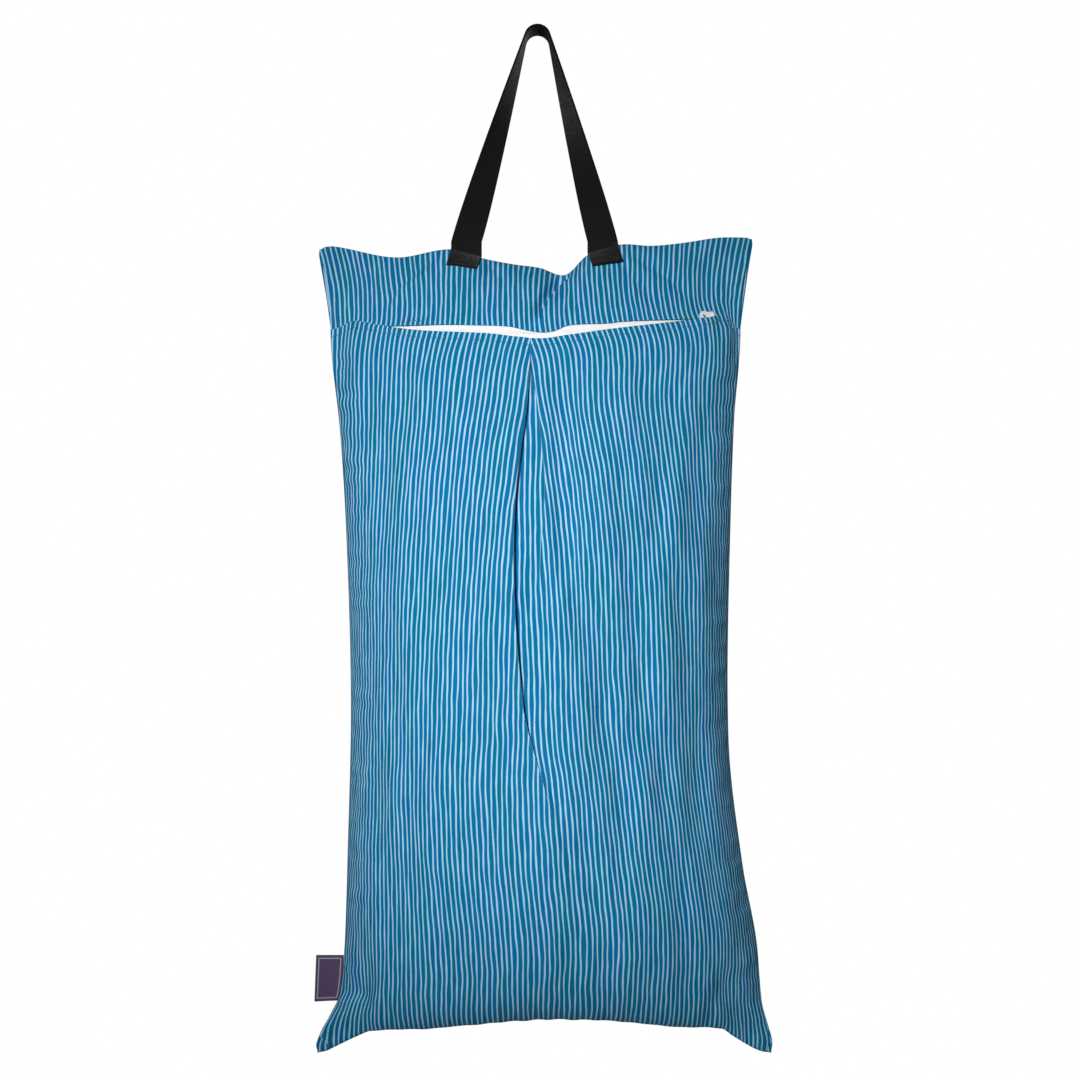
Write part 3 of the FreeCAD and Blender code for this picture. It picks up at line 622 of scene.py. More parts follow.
def straight_down(x, level_x, level_used):
    """The cloth of the row above at the same x, gathered near the edge where the ear begins."""
    moved = x - (x[0] - level_x[0]) * np.exp(-(x - x[0]) / EAR_GATHER)
    past = np.maximum(moved - level_x[-1], 0)
    return np.interp(moved, level_x, level_used) + past


def cloth_across(kinds, z, base):
    """Millimetres of cloth along each row of the lower front.

    Above the right fold's end the hollow's stripes run straight down; below it they follow the
    right side, and below the left fold's end the left side joins them too.
    """
    run = run_along(base)
    left = np.where(kinds == "left")[0]
    right = np.where(kinds == "right")[0]
    middle = np.arange(left[-1] + 1, right[0])
    from_left = run[:, left]
    from_right = run[:, -1:] - run[:, right]
    share_left = from_left / from_left[:, -1:]
    share_right = from_right / from_right[:, :1]
    below = np.clip(FAN_FROM - z, 0, None)
    fan = (FAN * (1 - bell(below, FAN_REACH, 1.2)))[:, None]
    used_left = from_left + fan * mix(FAN_AT_SEAM, 1.0, share_left)
    used_right = from_right + fan * mix(FAN_AT_SEAM, 1.0, share_right)
    x = base[..., 0]
    level = int(np.argmin(np.abs(z - EARS_FROM)))
    for i in range(level + 1, len(z)):
        share = smooth((EARS_FROM - z[i]) / 30)
        kept = straight_down(x[i, left], x[level, left], used_left[level])
        used_left[i] = mix(used_left[i], kept, share)
        mirrored = -x[:, right[::-1]]
        kept = straight_down(mirrored[i], mirrored[level], used_right[level, ::-1])[::-1]
        used_right[i] = mix(used_right[i], kept, share)
    left_x, right_x = x[:, left[-1]], x[:, right[0]]
    total = used_left[:, -1] + used_right[:, 0] + right_x - left_x
    whole = np.interp(-LEFT_FOLD_END_Z, -z, total)
    spare = (total - whole) * smooth((LEFT_FOLD_END_Z + 70 - z) / 70) / 2
    used_left -= spare[:, None] * share_left
    used_right -= spare[:, None] * share_right
    used = np.zeros_like(run)
    used[:, left] = used_left
    used[:, right] = whole - used_right
    at_fold = used_right[:, 0] + right_x
    kept = np.interp(-RIGHT_FOLD_END_Z, -z, at_fold)
    at_fold = np.where(z > RIGHT_FOLD_END_Z, kept, at_fold)
    used[:, middle] = whole - at_fold[:, None] + x[:, middle]
    return used


# ---------------------------------------------------------------- meshes
def link(name, data):
    made = bpy.data.objects.new(name, data)
    bpy.context.scene.collection.objects.link(made)
    return made


def make_object(name, points, faces, uv=None):
    mesh = bpy.data.meshes.new(name)
    mesh.from_pydata((np.asarray(points, float).reshape(-1, 3) * MM).tolist(), [], faces)
    mesh.update()
    if uv is not None:
        layer = mesh.uv_layers.new(name="UVMap")
        corner = np.zeros(len(mesh.loops), np.int32)
        mesh.loops.foreach_get("vertex_index", corner)
        uv = np.asarray(uv / UV_UNIT, np.float32).reshape(-1, 2)
        layer.data.foreach_set("uv", uv[corner].ravel())
    mesh.polygons.foreach_set("use_smooth", np.ones(len(mesh.polygons), bool))
    return link(name, mesh)


def grid_faces(rows, cols, start=0, turn=False, wrap=False):
    index = np.arange(rows * cols).reshape(rows, cols) + start
    if wrap:
        index = np.concatenate([index, index[:, :1]], 1)
    quads = np.stack([index[:-1, :-1], index[1:, :-1], index[1:, 1:], index[:-1, 1:]], -1)
    quads = quads.reshape(-1, 4)
    return (quads[:, ::-1] if turn else quads).tolist()


def tube_faces(rows, cols, start=0, turn=False):
    """A closed tube: rings of points, and a cap on each end."""
    ring = np.arange(start, start + cols)
    caps = [ring, ring[::-1] + (rows - 1) * cols]
    faces = grid_faces(rows, cols, start, turn, wrap=True)
    return faces + [(cap[::-1] if turn else cap).tolist() for cap in caps]


def cloth_object(name, points, uv, front):
    """A closed sheet: the outer grid of points, the inner grid behind it, and the rims."""
    rows, cols = points.shape[:2]
    normal = np.cross(np.gradient(points, axis=0), np.gradient(points, axis=1))
    normal /= np.maximum(np.linalg.norm(normal, axis=-1, keepdims=True), 1e-9)
    if not front:
        normal = -normal
    inner = points - normal * CLOTH
    verts = np.stack([points, inner])
    faces = grid_faces(rows, cols, 0, not front)
    faces += grid_faces(rows, cols, rows * cols, front)
    index = np.arange(rows * cols).reshape(rows, cols)
    loop = np.concatenate([index[0, :], index[1:, -1], index[-1, -2::-1], index[-2:0:-1, 0]])
    nxt = np.roll(loop, -1)
    rim = np.stack([loop, nxt, nxt + rows * cols, loop + rows * cols], -1)
    faces += (rim if front else rim[:, ::-1]).tolist()
    return make_object(name, verts, faces, np.stack([uv, uv]))


# The turned edge beside the zip: how far back over the panel, and how far out
LIP_CURL = [
    (5.0, -1.05), (2.2, -1.05), (0.4, -1.0), (-0.2, -0.75), (-0.35, -0.4), (-0.22, -0.1),
]


def with_lip(points, uv, below, u):
    """Adds the folded edge beside the zip: it turns under and lies behind the panel."""
    _, way, out = lip(u, below)
    side, end = (1, 0) if below else (-1, -1)
    rows = [points[end] + way * (side * step) + out * depth for step, depth in LIP_CURL]
    rows_uv = [
        uv[end] - np.array([0, side * (1.5 + abs(step - 0.3) + abs(depth))])
        for step, depth in LIP_CURL
    ]
    if below:
        return np.concatenate([rows, points]), np.concatenate([rows_uv, uv])
    return np.concatenate([points, rows[::-1]]), np.concatenate([uv, rows_uv[::-1]])


# ---------------------------------------------------------------- materials
class Paint:
    """One procedural material, with short ways to add and link its nodes."""

    def __init__(self, name, **settings):
        self.material = bpy.data.materials.new(name)
        self.material.use_nodes = True
        self.tree = self.material.node_tree
        self.shader = self.tree.nodes["Principled BSDF"]
        for key, value in settings.items():
            self.shader.inputs[key.replace("_", " ")].default_value = value

    def node(self, kind, inputs=None, **settings):
        made = self.tree.nodes.new(kind)
        for key, value in settings.items():
            setattr(made, key, value)
        for key, value in (inputs or {}).items():
            self.put(made.inputs[key], value)
        return made

    def put(self, socket, value):
        if isinstance(value, bpy.types.NodeSocket):
            self.tree.links.new(value, socket)
        else:
            socket.default_value = value

    def calc(self, operation, *values):
        return self.node("ShaderNodeMath", dict(enumerate(values)), operation=operation).outputs[0]

    def times(self, a, b):
        return self.calc("MULTIPLY", a, b)

    def plus(self, a, b):
        return self.calc("ADD", a, b)

    def minus(self, a, b):
        return self.calc("SUBTRACT", a, b)

    def ramp(self, value, low, high, to_low=0.0, to_high=1.0):
        inputs = {0: value, 1: low, 2: high, 3: to_low, 4: to_high}
        made = self.node("ShaderNodeMapRange", inputs, interpolation_type="SMOOTHSTEP")
        return made.outputs[0]

    def blend(self, share, a, b):
        made = self.node("ShaderNodeMix", data_type="RGBA")
        self.put(made.inputs[0], share)
        self.put(made.inputs[6], a)
        self.put(made.inputs[7], b)
        return made.outputs[2]

    def noise(self, vector, scale, detail=2.0, roughness=0.5):
        inputs = {"Vector": vector, "Scale": scale, "Detail": detail, "Roughness": roughness}
        return self.node("ShaderNodeTexNoise", inputs).outputs["Fac"]

    def join(self, x, y, z=0.0):
        return self.node("ShaderNodeCombineXYZ", {0: x, 1: y, 2: z}).outputs[0]

    def uv(self):
        place = self.node("ShaderNodeUVMap", uv_map="UVMap").outputs[0]
        split = self.node("ShaderNodeSeparateXYZ", {0: place})
        self.u, self.v = split.outputs[0], split.outputs[1]
        return self.u, self.v

    def grain(self, across, down, detail=2.0, roughness=0.5, scale=1.0, layer=0.0):
        """Noise on the cloth, stretched so much across and down."""
        place = self.join(self.times(self.u, across), self.times(self.v, down), layer)
        return self.noise(place, scale, detail, roughness)

    def yarns(self, value, pitch):
        """A wave with one crest to each yarn, so many millimetres apart."""
        return self.calc("SINE", self.times(value, 2 * math.pi * UV_UNIT / pitch))

    def place(self):
        return self.node("ShaderNodeTexCoord").outputs["Object"]

    def bump(self, height, distance, strength=1.0, after=None):
        inputs = {"Height": height, "Distance": distance, "Strength": strength}
        if after is not None:
            inputs["Normal"] = after
        return self.node("ShaderNodeBump", inputs).outputs[0]

    def colour(self, value):
        self.put(self.shader.inputs["Base Color"], value)

    def normal(self, value):
        self.put(self.shader.inputs["Normal"], value)

    def rough(self, value):
        self.put(self.shader.inputs["Roughness"], value)


def rgb(r, g, b):
    """A colour given as sRGB numbers from 0 to 255."""
    parts = []
    for c in (r, g, b):
        c = c / 255
        parts.append(c / 12.92 if c <= 0.04045 else ((c + 0.055) / 1.055) ** 2.4)
    return (*parts, 1.0)


def striped_fabric():
    """Uneven pale stripes on blue cotton: a fine weave, softly crinkled."""
    p = Paint("striped_fabric", Roughness=0.8, Specular_IOR_Level=0.06)
    u, v = p.uv()
    drift = p.times(p.minus(p.grain(1.2, 0.9, scale=1.6), 0.5), STRIPE_DRIFT)
    s = p.plus(p.times(u, UV_UNIT / STRIPE_PITCH), drift)
    index = p.calc("FLOOR", s)
    inside = p.minus(s, index)
    wobble = p.noise(p.join(p.times(index, 7.31), p.times(v, 2.7)), 1.0, 1.5)
    centre = p.plus(0.5, p.times(p.minus(wobble, 0.5), STRIPE_WOBBLE))
    width = p.noise(p.join(p.plus(p.times(index, 3.77), 50.0), p.times(v, 4.0)), 1.0, 2.0)
    half = p.plus(STRIPE_HALF, p.times(p.minus(width, 0.5), STRIPE_UNEVEN))
    off = p.calc("ABSOLUTE", p.minus(inside, centre))
    light = p.minus(1.0, p.ramp(p.minus(off, half), -0.05, 0.05))
    tone = p.grain(9.0, 0.8, 3.0, 0.6)
    patch = p.grain(30.0, 3.0, layer=4.0)
    blue = p.blend(p.ramp(tone, 0.3, 0.7), rgb(0, 108, 144), rgb(0, 110, 168))
    blue = p.blend(p.times(p.ramp(patch, 0.35, 0.75), 0.45), blue, rgb(2, 126, 168))
    pale = p.blend(p.ramp(tone, 0.35, 0.65), rgb(158, 212, 234), rgb(176, 210, 238))
    p.colour(p.blend(light, blue, pale))
    weave = p.times(p.yarns(u, 0.6), p.yarns(v, 0.6))
    crinkle = p.grain(5.0, 3.0, 4.0, 0.55, layer=9.0)
    p.normal(p.bump(weave, 0.00006, 0.5, p.bump(crinkle, 0.0016, 0.5)))
    p.rough(p.ramp(p.grain(60.0, 60.0), 0.2, 0.8, 0.6, 0.78))
    return p.material


def webbing():
    """Black ribbed webbing with a little fuzz."""
    p = Paint("webbing", Sheen_Weight=0.25, Sheen_Roughness=0.4, Specular_IOR_Level=0.2)
    u, v = p.uv()
    ribs = p.yarns(v, 1.3)
    weave = p.plus(p.times(ribs, p.yarns(u, 1.15)), p.times(ribs, 0.6))
    fuzz = p.grain(90.0, 90.0, 3.0, 0.7)
    shade = p.ramp(p.plus(p.times(weave, 0.22), fuzz), 0.25, 0.95)
    p.colour(p.blend(shade, rgb(9, 9, 9), rgb(27, 26, 25)))
    p.rough(p.ramp(fuzz, 0.2, 0.8, 0.62, 0.85))
    p.normal(p.bump(weave, 0.00018, 0.8, p.bump(fuzz, 0.0002, 0.5)))
    return p.material


def thread(name, dark, light):
    """Twisted sewing thread."""
    p = Paint(name, Roughness=0.55, Sheen_Weight=0.2)
    inputs = {"Vector": p.place(), "Scale": 900.0, "Distortion": 3.0, "Detail": 2.0}
    twist = p.node("ShaderNodeTexWave", inputs).outputs["Fac"]
    p.colour(p.blend(twist, dark, light))
    p.normal(p.bump(twist, 0.00008, 0.6))
    return p.material


def zip_cloth():
    """White woven zip tape."""
    p = Paint("zip_tape", Roughness=0.8, Sheen_Weight=0.15)
    u, v = p.uv()
    weave = p.times(p.yarns(u, 0.7), p.yarns(v, 0.9))
    speck = p.plus(p.grain(40.0, 40.0, 3.0), p.times(weave, 0.1))
    p.colour(p.blend(p.ramp(speck, 0.3, 0.7), rgb(246, 247, 248), rgb(254, 254, 254)))
    p.normal(p.bump(weave, 0.0001, 0.5))
    return p.material


def glossy(name, low, high, roughness):
    """Moulded plastic or enamel: a little uneven in colour and gloss, with fine grain."""
    p = Paint(name, Roughness=roughness)
    place = p.place()
    fine = p.noise(place, 700.0)
    p.colour(p.blend(p.ramp(p.noise(place, 60.0, 3.0), 0.3, 0.7), low, high))
    p.rough(p.ramp(fine, 0.3, 0.7, roughness - 0.06, roughness + 0.1))
    p.normal(p.bump(fine, 0.00005, 0.25))
    return p.material


def label_cloth():
    """Purple satin-woven label with a thin lighter frame."""
    p = Paint("woven_label", Roughness=0.5, Sheen_Weight=0.4, Sheen_Roughness=0.35)
    u, v = p.uv()
    # The frame's four sides, in UV units
    inset_u = p.calc("MINIMUM", p.minus(u, 0.022), p.minus(0.2, u))
    inset_v = p.calc("MINIMUM", p.minus(v, 0.028), p.minus(0.362, v))
    inset = p.calc("ABSOLUTE", p.calc("MINIMUM", inset_u, inset_v))
    frame_line = p.minus(1.0, p.ramp(inset, 0.003, 0.006))
    speck = p.ramp(p.grain(60.0, 60.0, 3.0), 0.3, 0.7)
    base = p.blend(speck, rgb(66, 46, 82), rgb(88, 66, 106))
    p.colour(p.blend(p.times(frame_line, 0.75), base, rgb(188, 182, 200)))
    p.normal(p.bump(p.plus(p.yarns(v, 0.35), p.times(p.yarns(u, 0.3), 0.5)), 0.00006, 0.7))
    return p.material


def floor_paint():
    """A pale floor that fades out, so that it has no edge."""
    p = Paint("floor", Roughness=0.9)
    place = p.place()
    x, y = p.node("ShaderNodeSeparateXYZ", {0: place}).outputs[:2]
    far = p.calc("SQRT", p.plus(p.calc("POWER", x, 2.0), p.calc("POWER", y, 2.0)))
    p.colour(p.blend(p.noise(place, 3.0), rgb(244, 244, 243), rgb(250, 250, 250)))
    p.put(p.shader.inputs["Alpha"], p.ramp(far, 0.35, 0.86, 1.0, 0.0))
    return p.material


FABRIC = striped_fabric()
WEBBING = webbing()
BLACK_THREAD = thread("black_thread", rgb(10, 10, 10), rgb(46, 45, 44))
BLUE_THREAD = thread("blue_thread", rgb(6, 78, 116), rgb(28, 116, 158))
OVERLOCK = thread("overlock_thread", rgb(30, 96, 138), rgb(150, 190, 214))
TAPE = zip_cloth()
COIL = glossy("zip_coil", rgb(240, 241, 242), rgb(252, 252, 252), 0.35)
ENAMEL = glossy("slider_enamel", rgb(238, 239, 240), rgb(250, 250, 250), 0.28)
LABEL = label_cloth()


def dress(obj, material):
    if not obj.data.materials:
        obj.data.materials.append(None)
    for i in range(len(obj.data.materials)):
        obj.data.materials[i] = material
    return obj


def place_piece(made, body, slot, material, *nodes):
    """Gives a piece its material, hangs it on the body it rides on, and hides the CAD nodes it
    stands in for.
    """
    dress(made, material)
    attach(made, body)
    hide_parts(*nodes)


# ---------------------------------------------------------------- fabric panels
def fabric_panel(name, points, uv, front, node, **sheet):
    made = cloth_object(name, points, uv, front)
    place_piece(made, "bag", "striped_fabric", FABRIC, node)


def panel_grid(surface, u, s, width, length):
    """A panel's points, and how far each is from its left, right, upper and lower edge."""
    u, s = np.meshgrid(u, s)
    return u, s, surface(u, s), u * width, (1 - u) * width, s * length, (1 - s) * length


def build_lower():
    """The lower front; returns its points and which columns lie beside the pleat."""
    s, kinds, u, row, base, points = front_lower_grid()
    across = cloth_across(kinds, row["z"], base)
    down = np.repeat((UPPER_LENGTH + s * LOWER_LENGTH)[:, None], across.shape[1], 1)
    points, uv = with_lip(points, np.stack([across, down], -1), True, u[0])
    fabric_panel(
        "front_lower_cloth", points, uv, True, "front_lower_panel",
        flat=(0.44, 0.63), rests_on=["back_cloth", "zip_tape_low"],
    )
    return points, np.where((kinds == "left") | (kinds == "right"))[0]


def build_upper():
    rows = [0, 0.012, 0.03, 0.06, *np.linspace(0.09, 0.93, 44), 0.95, 0.965, 0.98, 0.99, 1.0]
    u, s, base, left, right, high, low = panel_grid(
        upper_skin, eased(240, 1.5, 1.5), rows, UPPER_WIDTH, UPPER_LENGTH
    )
    x, z = base[..., 0], base[..., 2]
    inner = clear_of((high, 22), (left, 40), (right, 40), (low, 12))
    out = inner * (1.6 * ripple(x, z, 21, 75, 90) + 0.5 * ripple(x, z, 22, 30, 60))
    for fold in creased(UPPER_CREASES, x, z):
        out = out + fold * smooth(high / 5) * mix(0.35, 1, smooth(low / 10))
    near = bell(high, 9) * clear_of((high, 2.5), (left, 10), (right, 10))
    out = out + 0.55 * near * ripple(x, high, 23, 15, 40)
    for edge, seed in ((left, 24), (right, 25)):
        fold = puckers(edge, 16, 0.7, edge * 0.5, z, seed, 60, 15)
        out = out + fold * clear_of((high, 8), (low, 8))
    points = base + outward(upper_skin, u, s, True) * out[..., None]
    run = run_along(base)
    across = run * (UPPER_FLAT_WIDTH / run[:, -1:]) + UPPER_CUT[0]
    uv = np.stack([across, s * UPPER_LENGTH + UPPER_CUT[1]], -1)
    points, uv = with_lip(points, uv, False, u[0])
    fabric_panel(
        "front_upper_cloth", points, uv, True, "front_upper_panel",
        flat=(0.40, 0.08), rests_on=["back_cloth", "zip_tape_up"],
    )


def build_back():
    u, s, base, left, right, high, low = panel_grid(
        back_skin, eased(170, 1.5, 1.5), eased(190, 1.5, 1.5), BACK_WIDTH, BACK_LENGTH
    )
    x, z = base[..., 0], base[..., 2]
    inner = clear_of((left, 40), (right, 40), (high, 50), (low, 60))
    out = inner * (3.0 * ripple(x, z, 31, 110, 280) + 1.0 * ripple(x, z, 32, 42, 160))
    for edge, seed in ((left, 33), (right, 34)):
        fold = puckers(edge, 20, 0.9, edge * 0.5, z, seed, 60, 17)
        out = out + fold * clear_of((low, 20), (high, 14))
    for edge, seed in ((high, 35), (low, 36)):
        fold = puckers(edge, 20, 0.9, x, edge * 0.5, seed, 19, 60)
        out = out + fold * clear_of((left, 8), (right, 8))
    points = base + outward(back_skin, u, s, False) * out[..., None]
    run = run_along(base)
    # halfway between the cloth's true width and one width in every row
    middle = run[:, -1:] / 2
    across = mix(run - middle + BACK_CUT[0], run * (FLAT_WIDTH / run[:, -1:]), 0.5)
    uv = np.stack([across, s * BACK_LENGTH + BACK_CUT[1]], -1)
    fabric_panel(
        "back_cloth", points, uv, False, "back_panel",
        flat=(0.40, 0.70), rests_on=["front_lower_cloth", "front_upper_cloth"],
    )


lower_points, beside_pleat = build_lower()
build_upper()
build_back()


# ---------------------------------------------------------------- webbing
def sewn_point(side, across, below):
    """The front face of a sewn strap end, so far across it and so far below the top seam."""
    x = STRAP_BASE[side] + side * below * STRAP_END_LEAN + across
    width = TOP_EDGE[-1][0] - TOP_EDGE[0][0]
    u = (x - TOP_EDGE[0][0]) / width
    for _ in range(3):
        point = upper_skin(u, below / UPPER_LENGTH)
        u = u + (x - point[..., 0]) / width
    point[..., 1] = np.minimum(point[..., 1], -SKIN_OUT)
    return point + np.array([0, -STRAP_END_CLEAR - STRAP_THICKNESS, 0])


def strap_leg(side):
    """Centres and half-width vectors of one leg, from its sewn end up to the peg."""
    middle = PEG_SEAT_RADIUS + STRAP_THICKNESS / 2
    half = STRAP_WIDTH / 2
    base = np.array([STRAP_BASE[side], FOLD_AXIS_Y, FOLD_AXIS_Z])
    slope = math.atan2(base[2], abs(base[0]))
    contact = slope + math.acos(middle / math.hypot(base[0], base[2]))
    top = np.array([side * middle * math.cos(contact), 0, middle * math.sin(contact)])
    lean = math.dist(base, top) / (top[2] - base[2])
    edges = np.array([-half * STRAP_END_SPREAD, 0.0, half * STRAP_END_SPREAD])
    centres, halves = [], []
    for below in np.linspace(STRAP_OVERLAP, 0, 12):
        edge_a, mid, edge_b = sewn_point(side, edges, below + 0 * edges)
        centres.append(mid + np.array([0, STRAP_THICKNESS / 2, 0]))
        halves.append((edge_b - edge_a) / 2)
    last = centres[-1]
    for t in (0.35, 0.7):
        centres.append(mix(last, base, t))
        halves.append(mix(halves[-1], np.array([lean * half, 0, 0]), t))
    for t in np.linspace(0, 1, 78):
        turn = math.pi / 2 * t**TWIST_POWER
        centres.append(mix(base, top, t))
        halves.append(np.array([lean * math.cos(turn), -side * math.sin(turn), 0]) * half)
    return centres, halves, contact


def strap_sections():
    """Centres and half-width vectors of the webbing, from one sewn end to the other."""
    centres, halves, left_contact = strap_leg(-1)
    right_centres, right_halves, right_contact = strap_leg(1)
    middle = PEG_SEAT_RADIUS + STRAP_THICKNESS / 2
    for t in np.linspace(0, 1, 16)[1:-1]:
        angle = mix(math.pi - left_contact, right_contact, t)
        centres.append(np.array([middle * math.cos(angle), 0, middle * math.sin(angle)]))
        halves.append(np.array([0, STRAP_WIDTH / 2, 0]))
    centres += right_centres[::-1]
    halves += [-h for h in right_halves[::-1]]
    # keep the half-width vectors turning the same way all along
    for i in range(1, len(halves)):
        if halves[i] @ halves[i - 1] < 0:
            halves[i] = -halves[i]
    return np.array(centres), np.array(halves)


def build_webbing():
    centres, halves = strap_sections()
    out = unit(np.cross(unit(np.gradient(centres, axis=0)), halves))
    w = np.linspace(-1, 1, 47)
    ribs = 0.09 * (1 - np.cos(math.pi * (w + 1) * STRAP_RIBS)) / 2
    half_thick = (STRAP_THICKNESS / 2 - ribs) * dome((np.abs(w) - 0.95) / 0.05)
    ring_w = np.concatenate([w, w[-2:0:-1]])
    ring_out = np.concatenate([half_thick, -half_thick[-2:0:-1]])
    points = centres[:, None] + halves[:, None] * ring_w[:, None] + out[:, None] * ring_out[:, None]
    uv = np.stack(np.meshgrid((ring_w + 1) / 2 * STRAP_WIDTH, run_along(centres)), -1)
    made = make_object("webbing_handle", points, tube_faces(*points.shape[:2]), uv)
    dress(made, WEBBING)
    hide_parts("strap_loop", "strap_end_left", "strap_end_right")
    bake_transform(made)


build_webbing()


# ---------------------------------------------------------------- thread
def stitches(name, node, runs, material, radius, slot):
    """Short stitches: each run is (start, end, outward) of one stitch, with rounded ends."""
    verts, faces = [], []
    ring = 8
    # the share along a stitch, its thickness there, and how far out it lies, in radii
    profile = [
        (0.0, 0.25, -0.9), (0.12, 0.75, -0.25), (0.3, 1.0, 0.15),
        (0.7, 1.0, 0.15), (0.88, 0.75, -0.25), (1.0, 0.25, -0.9),
    ]
    for start, end, out in runs:
        side = unit(np.cross(end - start, out))
        faces += tube_faces(len(profile), ring, len(verts))
        for t, size, deep in profile:
            centre = mix(start, end, t) + out * radius * deep
            for k in range(ring):
                angle = 2 * math.pi * k / ring
                around = side * math.cos(angle) + out * math.sin(angle)
                verts.append(centre + around * radius * size)
    place_piece(make_object(name, verts, faces), "bag", slot, material, node)


def stitch_line(line, outs, length, gap):
    """Splits a line of points into stitches."""
    steps = run_along(line)
    count = max(1, int(steps[-1] // (length + gap)))
    pitch = steps[-1] / count

    def at(d, values):
        return np.array([np.interp(d, steps, values[:, k]) for k in range(3)])

    runs = []
    for i in range(count):
        a, b = i * pitch + gap / 2, (i + 1) * pitch - gap / 2
        runs.append((at(a, line), at(b, line), unit(at((a + b) / 2, outs))))
    return runs


def build_strap_stitching(side, name, node):
    """A box of stitches with a cross in it."""
    inset = 2.8
    half = STRAP_WIDTH / 2 - inset
    low = STRAP_OVERLAP - inset
    corners = [(-half, inset), (half, inset), (half, low), (-half, low)]
    t = np.linspace(0, 1, 9)
    outs = np.repeat(np.array([[0, -1.0, 0]]), len(t), 0)
    runs = []
    for a, b in ((0, 1), (1, 2), (2, 3), (3, 0), (0, 2), (1, 3)):
        across, below = (mix(corners[a][k], corners[b][k], t) for k in range(2))
        runs += stitch_line(sewn_point(side, across, below) + outs * 0.06, outs, 2.1, 0.5)
    stitches(name, node, runs, BLACK_THREAD, 0.26, "black_thread")


def build_topstitch():
    """The line of stitches below the zip, on each side of the pleat."""
    row = len(LIP_CURL) + int(np.argmin(np.abs(lower_rows() * LOWER_LENGTH - STITCH_BELOW)))
    above, line, below = lower_points[row - 1 : row + 2, beside_pleat]
    outs = unit(np.cross(below - above, np.gradient(line, axis=0)))
    runs = stitch_line(line + outs * 0.1, outs, 3.0, 0.7)
    stitches("zip_topstitches", "zip_topstitch", runs, BLUE_THREAD, 0.24, "blue_thread")


build_strap_stitching(-1, "strap_stitches_left", "strap_stitching_left")
build_strap_stitching(1, "strap_stitches_right", "strap_stitching_right")
build_topstitch()


# ---------------------------------------------------------------- zip
def zip_strip(name, side, node):
    """One tape of the zip: below the zip's line for side 1, above it for side -1."""
    x = np.linspace(ZIP_MIDDLE[0] - TAPE_REACH, ZIP_MIDDLE[0] + TAPE_REACH, 200)
    profile = [
        (0.45, -2.3), (0.7, -2.0), (1.4, -1.82), (6, -1.85), (13, -1.9), (13.2, -2.15),
        (13, -2.4), (6, -2.38), (1.4, -2.4), (0.5, -2.45),
    ]
    same = np.ones_like(x)
    points = np.stack([zip_point(x, side * down * same, out * same) for down, out in profile], 1)
    uv = np.stack([np.stack([x, down * same], -1) for down, _ in profile], 1)
    made = make_object(name, points, tube_faces(*points.shape[:2], turn=side < 0), uv)
    place_piece(made, "bag", "zip_tape", TAPE, node)


def coil(name, side, node):
    """A row of teeth, each a rounded loop with its head across the middle of the zip."""
    start = ZIP_MIDDLE[0] - COIL_REACH + (COIL_PITCH / 2 if side > 0 else 0)
    profile = [
        (-0.62, 0.3), (-0.55, 0.42), (-0.3, 0.5), (0.3, 0.4), (1.4, 0.36), (2.1, 0.34), (2.35, 0.2),
    ]
    ring = 8
    angles = 2 * math.pi * np.arange(ring) / ring
    verts, faces = [], []
    for tooth_x in np.arange(start, ZIP_MIDDLE[0] + COIL_REACH, COIL_PITCH):
        faces += tube_faces(len(profile), ring, len(verts), turn=side > 0)
        for down, size in profile:
            out = COIL_OUT + size * 1.25 * np.sin(angles)
            verts += list(zip_point(tooth_x + size * np.cos(angles), side * down + 0 * angles, out))
    place_piece(make_object(name, verts, faces), "bag", "zip_coil", COIL, node)


zip_strip("zip_tape_low", 1, "zip_tape_lower")
zip_strip("zip_tape_up", -1, "zip_tape_upper")
coil("zip_teeth_low", 1, "zip_coil_lower")
coil("zip_teeth_up", -1, "zip_coil_upper")


# ---------------------------------------------------------------- label
def build_label():
    """The folded label, a little wavy, thinning to its fold."""
    low, high = np.array(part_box("side_label")) / MM
    rows, cols = 40, 26
    t = np.linspace(0, 1, rows)[:, None]
    w = np.linspace(0, 1, cols)[None, :]
    level = mix(high[2], low[2], t)
    x = mix(along(LEFT_SEAM, level) - 0.4, mix(*LABEL_EDGE_X, t), w)
    z = level - 0.9 * w * t
    wave = 0.35 * np.sin(math.pi * w) * np.sin(2.6 * math.pi * t)
    half = 0.34 * dome((w - 0.93) / 0.07, least=0.04)
    ring = np.concatenate([vec(x, wave - half, z), vec(x, wave + half, z)[:, ::-1]], 1)
    across = np.concatenate([w, w[:, ::-1]], 1) * LABEL_SIZE[0] + 0 * t
    uv = np.stack([across, t * LABEL_SIZE[1] + 0 * across], -1)
    made = make_object("woven_side_label", ring, tube_faces(rows, cols * 2, turn=True), uv)
    place_piece(made, "label", "woven_label", LABEL, "side_label")


build_label()


# ---------------------------------------------------------------- CAD nodes that stay
for nodes, material in (
    (("zip_slider", "zip_pull"), ENAMEL),
    (("zip_bottom_stop", "zip_top_stop_upper", "zip_top_stop_lower"), COIL),
    ([f"seam_allowance_{edge}" for edge in ("left", "right", "bottom", "top")], OVERLOCK),
):
    for node in nodes:
        dress(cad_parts[node], material)
for node in ("zip_slider", "zip_pull"):
    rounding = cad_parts[node].modifiers.new("rounding", "BEVEL")
    rounding.width = 0.22 * MM
    rounding.segments = 3
    rounding.limit_method = "ANGLE"
    rounding.angle_limit = math.radians(35)


# ---------------------------------------------------------------- stage, light and camera
def build_floor():
    """A round floor under the hanging bag."""
    ring, radius = 64, 900
    angles = [2 * math.pi * k / ring for k in range(ring)]
    verts = [(0, 0, 0)] + [(radius * math.cos(a), radius * math.sin(a), 0) for a in angles]
    faces = [[0, k + 1, (k + 1) % ring + 1] for k in range(ring)]
    floor = dress(make_object("floor", verts, faces), floor_paint())
    floor.location = (0, 0, -1.25)


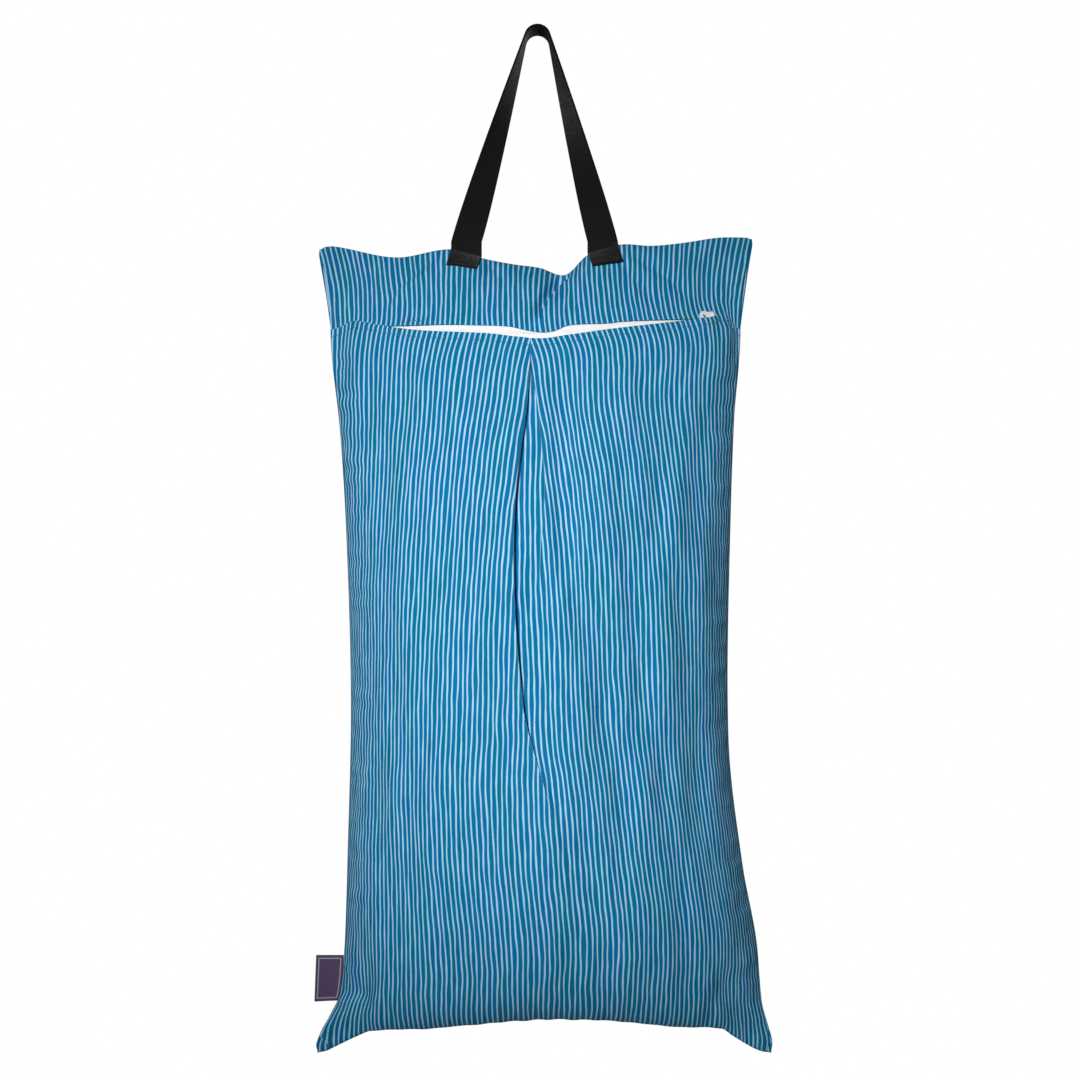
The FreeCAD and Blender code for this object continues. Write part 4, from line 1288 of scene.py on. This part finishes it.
def lamp(name, kind, place, target, energy, **settings):
    data = bpy.data.lights.new(name, kind)
    data.energy = energy
    for key, value in settings.items():
        setattr(data, key, value)
    made = link(name, data)
    made.location = place
    made.rotation_euler = (Vector(target) - Vector(place)).to_track_quat("-Z", "Y").to_euler()


def build_world():
    """A white background, and a dim fill that is brighter from above."""
    world = bpy.data.worlds.new("studio")
    bpy.context.scene.world = world
    world.use_nodes = True
    nodes, wire = world.node_tree.nodes, world.node_tree.links.new
    nodes.clear()
    output, seen, fill, coord, split, grade, path, mixer = (
        nodes.new("ShaderNode" + kind) for kind in (
            "OutputWorld", "Background", "Background", "TexCoord", "SeparateXYZ", "MapRange",
            "LightPath", "MixShader",
        )
    )
    seen.inputs["Color"].default_value = (1, 1, 1, 1)
    seen.inputs["Strength"].default_value = 1.0
    for key, value in {"From Min": -0.35, "From Max": 0.8, "To Min": 0.02, "To Max": 0.2}.items():
        grade.inputs[key].default_value = value
    wire(coord.outputs["Generated"], split.inputs[0])
    wire(split.outputs[2], grade.inputs["Value"])
    wire(grade.outputs[0], fill.inputs["Strength"])
    wire(path.outputs["Is Camera Ray"], mixer.inputs[0])
    wire(fill.outputs[0], mixer.inputs[1])
    wire(seen.outputs[0], mixer.inputs[2])
    wire(mixer.outputs[0], output.inputs["Surface"])


def build_camera():
    data = bpy.data.cameras.new("camera")
    data.lens = 44.57
    data.sensor_width = 36.0
    camera = link("camera", data)
    camera.location = (0.00215, -1.15, -0.428)
    camera.rotation_euler = (math.radians(90), 0, 0)
    bpy.context.scene.camera = camera
    bpy.context.scene.view_settings.view_transform = "Standard"


build_floor()
build_world()
# A soft-edged spot, brightest on the middle of the bag, and a soft light from behind
lamp(
    "key", "SPOT", (-0.40, -1.88, -0.08), (-0.015, -0.06, -0.475), 164.0,
    spot_size=math.radians(31.5), spot_blend=1.0, shadow_soft_size=0.12,
)
lamp(
    "rim_back", "AREA", (0.6, 1.8, 0.3), (0, 0, -0.45), 16.0,
    shape="RECTANGLE", size=1.3, size_y=1.3,
)
build_camera()
